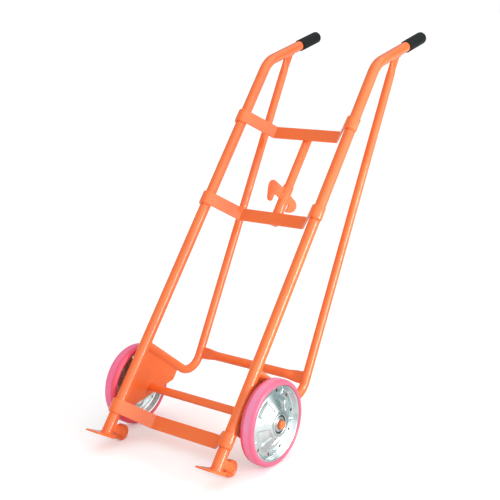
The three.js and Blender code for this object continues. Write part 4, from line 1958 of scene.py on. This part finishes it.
    def build_bearing(self, face: Face) -> None:
        """Draws one shielded ball bearing: two rings with a recessed, stepped shield between.

        Args:
            face: The wheel's face that the bearing sits in.
        """
        low, high = self.bearing_face - self.bearing_width, self.bearing_face
        outer, bore = self.bearing_radius, self.bearing_bore
        corners = [
            (low, bore, 0.4),
            (high, bore, 0.5),
            *((high - depth, radius, rounding) for depth, radius, rounding in self.shield_steps),
            (high, outer - 1.2, 0.5),
            (high - 1.8, outer, 0.5),
            (low, outer, 0.7),
        ]
        node = self.name(f"{face.label}_bearing")
        draft = Draft().turned(softened(corners), sides=96, lay=self.lay(face))
        draft.settle(f"{node}_race", node, finish=STEEL, body=self.body)


# Welds


def straight(first: Point3, last: Point3, steps: int = 12) -> list[Vector]:
    """A straight bead's path."""
    return [Vector(first).lerp(Vector(last), i / steps) for i in range(steps + 1)]


@dataclass
class Welds:
    """The weld beads where the frame's parts and the hook's parts are joined.

    Lengths named ends are what a bead leaves free at its start and end, and lengths named off are how
    far its path stands off the two faces that it joins. A claw's span is its way, 1 for back, and the
    heights above claw_up between which its beads run.
    """

    struts: Struts
    plates: Plates
    toes: Toes
    hook: Hook
    gusset_ends: Point2 = (4.0, 3.6)
    gusset_top_ends: Point2 = (5.0, 4.0)
    gusset_off: Point2 = (-0.4, -0.1)
    fork_end: float = 1.0
    strap_end_gap: float = 3.0
    strap_tip_off: Point2 = (0.8, 1.4)
    strap_wrap_off: Point2 = (0.6, 0.4)
    bar_off: float = 1.0
    claw_off: Point2 = (0.3, 0.4)
    bar_weld_x: float = 4.2
    handle_weld_x: float = 4.6
    handle_weld_drop: float = 16.4
    strap_wrap_degrees: Point2 = (-75.0, 5.0)
    claw_spans: tuple[Corner, ...] = ((-1.0, 5.0, 43.0), (1.0, 7.5, 36.0))
    paths: list[tuple[list[Vector], bool]] = field(default_factory=list)

    def add(self, path: list[Vector], closed: bool = False) -> None:
        """Adds one bead's path."""
        self.paths.append((path, closed))

    def build(self, bead: WeldBead) -> None:
        """Lays the frame's beads and then the hook's beads.

        Args:
            bead: The tree that lays beads along paths.
        """
        for side in Side:
            x = side.value * RAIL_X
            self.strut_joins(side, x)
            self.gusset_joins(x)
            self.toe_joins(x)
            for up in self.plates.strap_ups:
                self.strap_end(side, up)
        self.bar_joins()
        settle(bead.lay("frame_weld_beads", self.paths), ENAMEL, Body.FRAME)
        self.paths.clear()
        self.claw_joins()
        settle(bead.lay("hook_weld_beads", self.paths), ENAMEL, Body.CLAWS)

    def strut_joins(self, side: Side, x: float) -> None:
        """Beads round a strut's foot, along its flattened top and round the cross tube's end.

        Args:
            side: The strut's side.
            x: The strut's place across the truck.
        """
        struts, radius = self.struts, self.struts.tube.radius
        foot = circle(radius, sides=48)
        self.add(
            [Vector((x + a, math.sqrt(RAIL_RADIUS**2 - a * a), struts.leg + b)) for a, b in foot], True
        )
        top, run, handle = struts.top(side), struts.direction, struts.rails.handle_direction
        wide, away, steps = run.cross(ACROSS), Vector((0, handle.z, -handle.y)), 16
        for sign in (-1, 1):
            path = []
            for step in range(steps + 1):
                shift = wide * (struts.tube.flat_wide * (2 * step / steps - 1))
                down = (self.handle_weld_drop - shift.dot(away)) / (-run).dot(away)
                path.append(top + shift - run * down + ACROSS * (sign * self.handle_weld_x))
            self.add(path)
        middle, path = struts.crossing(x), []
        for a, b in flattened(0.0, 1.0, struts.tube.flat_thin, struts.cross.flat_wide, 48):
            inward = ACROSS * (side.value * math.sqrt(radius**2 - a * a))
            path.append(middle + wide * a + run * b - inward)
        self.add(path, True)

    def gusset_joins(self, x: float) -> None:
        """Beads along a gusset's edges on rail and strut, and round the axle.

        Args:
            x: The gusset's place across the truck.
        """
        plates, half = self.plates, self.plates.gusset_thickness / 2
        behind, top = RAIL_RADIUS + self.gusset_off[0], plates.gusset_top + self.gusset_off[1]
        low, high = plates.gusset_foot + self.gusset_ends[0], plates.gusset_top - self.gusset_ends[1]
        start = RAIL_RADIUS + self.gusset_top_ends[0]
        end = plates.gusset_rear - self.gusset_top_ends[1]
        for sign in (-1, 1):
            at = x + sign * half
            self.add(straight((at, behind, low), (at, behind, high)))
            self.add(straight((at, start, top), (at, end, top)))
            if sign * x < 0:
                ring = circle(AXLE_RADIUS, sides=40)
                self.add([Vector((at, AXLE_BACK + a, AXLE_UP + b)) for a, b in ring], True)

    def toe_joins(self, x: float) -> None:
        """Beads round the rail's foot on the toe, and along the fork plates on the rail.

        Args:
            x: The toe's place across the truck.
        """
        foot = circle(RAIL_RADIUS, sides=48)
        self.add([Vector((x + a, back, toe_top(back))) for a, back in foot], True)
        half = self.toes.fork_half_height
        for sign in (-1, 1):
            a = self.toes.fork_offset + self.toes.fork_thickness / 2
            at, back = x + sign * a, math.sqrt(RAIL_RADIUS**2 - a * a)
            low, high = ROLLER_UP - half + self.fork_end, ROLLER_UP + half
            self.add(straight((at, back, low), (at, back, high)))

    def strap_end(self, side: Side, up: float) -> None:
        """A bead down the free end of a strap, and one under its front where it wraps the rail.

        Args:
            side: The rail's side.
            up: The height of the strap's middle.
        """
        half = self.plates.strap_height / 2 - self.strap_end_gap
        out, back = self.strap_tip_off
        x = side.value * (RAIL_X + RAIL_RADIUS + out)
        self.add(straight((x, back, up - half), (x, back, up + half)))
        out, below = self.strap_wrap_off
        under = up - self.plates.strap_height / 2 - below
        wrap = arc((side.value * RAIL_X, 0.0), RAIL_RADIUS + out, *self.strap_wrap_degrees, steps=16)
        self.add([Vector((a, b, under)) for a, b in wrap])

    def bar_joins(self) -> None:
        """Beads on both sides of the slide bar's ends, on the straps' backs."""
        plates = self.plates
        back = plates.strap_setback + plates.strap_thickness + self.bar_off
        half = plates.strap_height / 2 - self.strap_end_gap
        for up in plates.strap_ups[1:]:
            low, high = max(up - half, self.hook.bar_low), min(up + half, self.hook.bar_high)
            for x in (-self.bar_weld_x, self.bar_weld_x):
                self.add(straight((x, back, low), (x, back, high)))

    def claw_joins(self) -> None:
        """Beads down both faces of each claw, on the sleeve."""
        hook, half = self.hook, self.hook.claw_thickness / 2
        beside, out = self.claw_off
        reach = math.sqrt(hook.sleeve_radius**2 - half * half) + out
        for way, low, high in self.claw_spans:
            for sign in (-1, 1):
                x, v = sign * (half + beside), BAR_BACK + way * reach
                self.add(straight((x, v, hook.claw_up + low), (x, v, hook.claw_up + high)))


# Studio


@dataclass(frozen=True)
class Lamp:
    """A soft studio lamp, aimed at a point of the truck, with its height along a direction."""

    place: Point3 = (2.72, -0.10, 0.90)
    aim: Point3 = (0.1, -0.2, 0.45)
    along: Point3 = (0.0, 0.633, 0.774)
    width: float = 0.54
    height: float = 1.5
    power: float = 44.0

    def hang(self) -> None:
        """Makes the lamp."""
        lamp = bpy.data.lights.new("side_strip", "AREA")
        lamp.shape = "RECTANGLE"
        lamp.size, lamp.size_y = self.width, self.height
        lamp.energy = self.power
        back = (Vector(self.place) - Vector(self.aim)).normalized()
        across = Vector(self.along).cross(back).normalized()
        turn = Matrix((across, back.cross(across), back)).transposed().to_4x4()
        stand("side_strip", lamp).matrix_world = Matrix.Translation(self.place) @ turn


@dataclass(frozen=True)
class Studio:
    """The white floor and surroundings, the lamp and the camera of the photograph.

    The tones other than white are seen only in the truck's gloss: there the floor is painted grey, with
    painted light beside the right wheel and to the left, and painted shade behind the truck. The borders
    of the floor's tones are places in metres in the shared frame, and the borders of the surroundings'
    tones are cosines.
    """

    focal: float = 70.238
    sensor: float = 36.0
    place: Point3 = (1.749938, -2.404666, 1.270876)
    right: Point3 = (0.799665, 0.600087, -0.020792)
    up: Point3 = (-0.132175, 0.209701, 0.968791)
    forward: Point3 = (-0.585718, 0.771960, -0.247007)
    ambient: float = 0.95
    floor_reach: float = 60.0
    floor_tone: float = 0.9
    floor_glow: float = 0.20
    floor_mirrored: float = 0.50
    floor_painted_light: float = 0.85
    floor_painted_shade: float = 0.9
    floor_roughness: float = 0.9
    beside_across: Point2 = (0.27, 0.40)
    beside_back: Point2 = (-0.75, -0.50)
    behind_across: Point2 = (-0.5, 0.1)
    behind_back: Point2 = (-0.30, -0.06)
    behind_end: Point2 = (2.5, 1.0)
    left_across: Point2 = (-0.2, -0.7)
    dim: Point3 = (0.17, 0.26, 0.26)
    dim_towards: Point3 = (0.188, 0.979, 0.081)
    dim_border: Point2 = (0.66, 0.88)
    dark_side: float = 0.32
    bright_side: float = 1.9
    bright_towards: Point3 = (0.951, 0.126, 0.282)
    bright_border: Point2 = (-0.3, 0.95)

    def build(self) -> None:
        """Sets the floor, the world, the lamp and the camera."""
        self.build_floor()
        self.build_world()
        Lamp().hang()
        self.build_camera()
        bpy.context.scene.view_settings.view_transform = "Standard"

    def build_floor(self) -> None:
        """Lays a pale floor that shows white, except where the truck shades it; in the truck's gloss it
        shows painted grey, painted light and painted shade.
        """
        mesh = bpy.data.meshes.new("studio_floor")
        reach = self.floor_reach
        corners = [(x * reach, y * reach, 0.0) for x, y in ((-1, -1), (1, -1), (1, 1), (-1, 1))]
        mesh.from_pydata(corners, [], [(0, 1, 2, 3)])
        graph = Coating("floor_white")
        across, back = graph.part("X"), graph.part("Y")
        # Seen only in gloss: painted grey, with painted light beside the right wheel and to the left,
        # and painted shade behind the truck.
        beside = across.between(*self.beside_across) * back.between(*self.beside_back)
        behind = across.between(*self.behind_across) * back.between(*self.behind_back)
        behind = behind * back.between(*self.behind_end) * self.floor_painted_shade
        left = across.between(*self.left_across)
        layers = (self.floor_painted_light, beside), (self.dim, behind), (self.floor_painted_light, left)
        reflection = graph.layered(self.floor_mirrored, *layers)
        tone = graph.mix(self.floor_tone, reflection, graph.ray("Glossy"))
        mesh.materials.append(graph.dress(Base_Color=tone, Roughness=self.floor_roughness))
        glow = graph.node("ShaderNodeEmission", {"Strength": self.floor_glow})
        white = graph.node("ShaderNodeAddShader", {0: graph.plain, 1: glow})
        seen = graph.ray("Camera") + graph.ray("Transmission")
        graph.place(graph.output.inputs["Surface"], graph.shader_mix(graph.plain, white, seen))
        floor = stand("studio_floor", mesh)

    def build_world(self) -> None:
        """Lights evenly, and shows surroundings that are brightest to the right and dim behind."""
        world = bpy.data.worlds.new("studio_world")
        bpy.context.scene.world = world
        world.use_nodes = True
        graph = Shading(world.node_tree)
        side = graph.facing(self.bright_towards).between(*self.bright_border)
        behind = graph.facing(self.dim_towards).between(*self.dim_border)
        colour = graph.layered(self.dark_side, (self.bright_side, side), (self.dim, behind))
        colour = graph.mix(1.0, colour, graph.ray("Glossy"))
        shown = graph.node("ShaderNodeBackground", {"Color": colour})
        even = {"Color": (1.0,) * 4, "Strength": self.ambient}
        plain = graph.node("ShaderNodeBackground", even)
        seen = graph.ray("Camera") + graph.ray("Glossy") + graph.ray("Transmission")
        graph.add("ShaderNodeOutputWorld", {"Surface": graph.shader_mix(plain, shown, seen)})

    def build_camera(self) -> None:
        """Places the camera as it was solved from the photograph's straight edges and circles."""
        lens = bpy.data.cameras.new("photo_camera")
        lens.sensor_width = self.sensor
        lens.lens = self.focal
        camera = stand("photo_camera", lens)
        turn = Matrix((self.right, self.up, -Vector(self.forward))).transposed().to_4x4()
        camera.matrix_world = Matrix.Translation(self.place) @ turn
        bpy.context.scene.camera = camera


def main() -> None:
    """Builds the sub-assemblies in order."""
    logging.basicConfig(level=logging.INFO, format="%(message)s")
    Studio().build()
    rails, plates, toes, hook = Rails(), Plates(), Toes(), Hook()
    struts = Struts(rails)
    for assembly in (rails, struts, plates, toes, hook, Axle()):
        assembly.build()
    punch, lugs = DiscPunch(), LugRing()
    for side in Side:
        Wheel(side).build(punch, lugs)
    Welds(struts, plates, toes, hook).build(WeldBead())


if __name__ == "__main__":
    main()
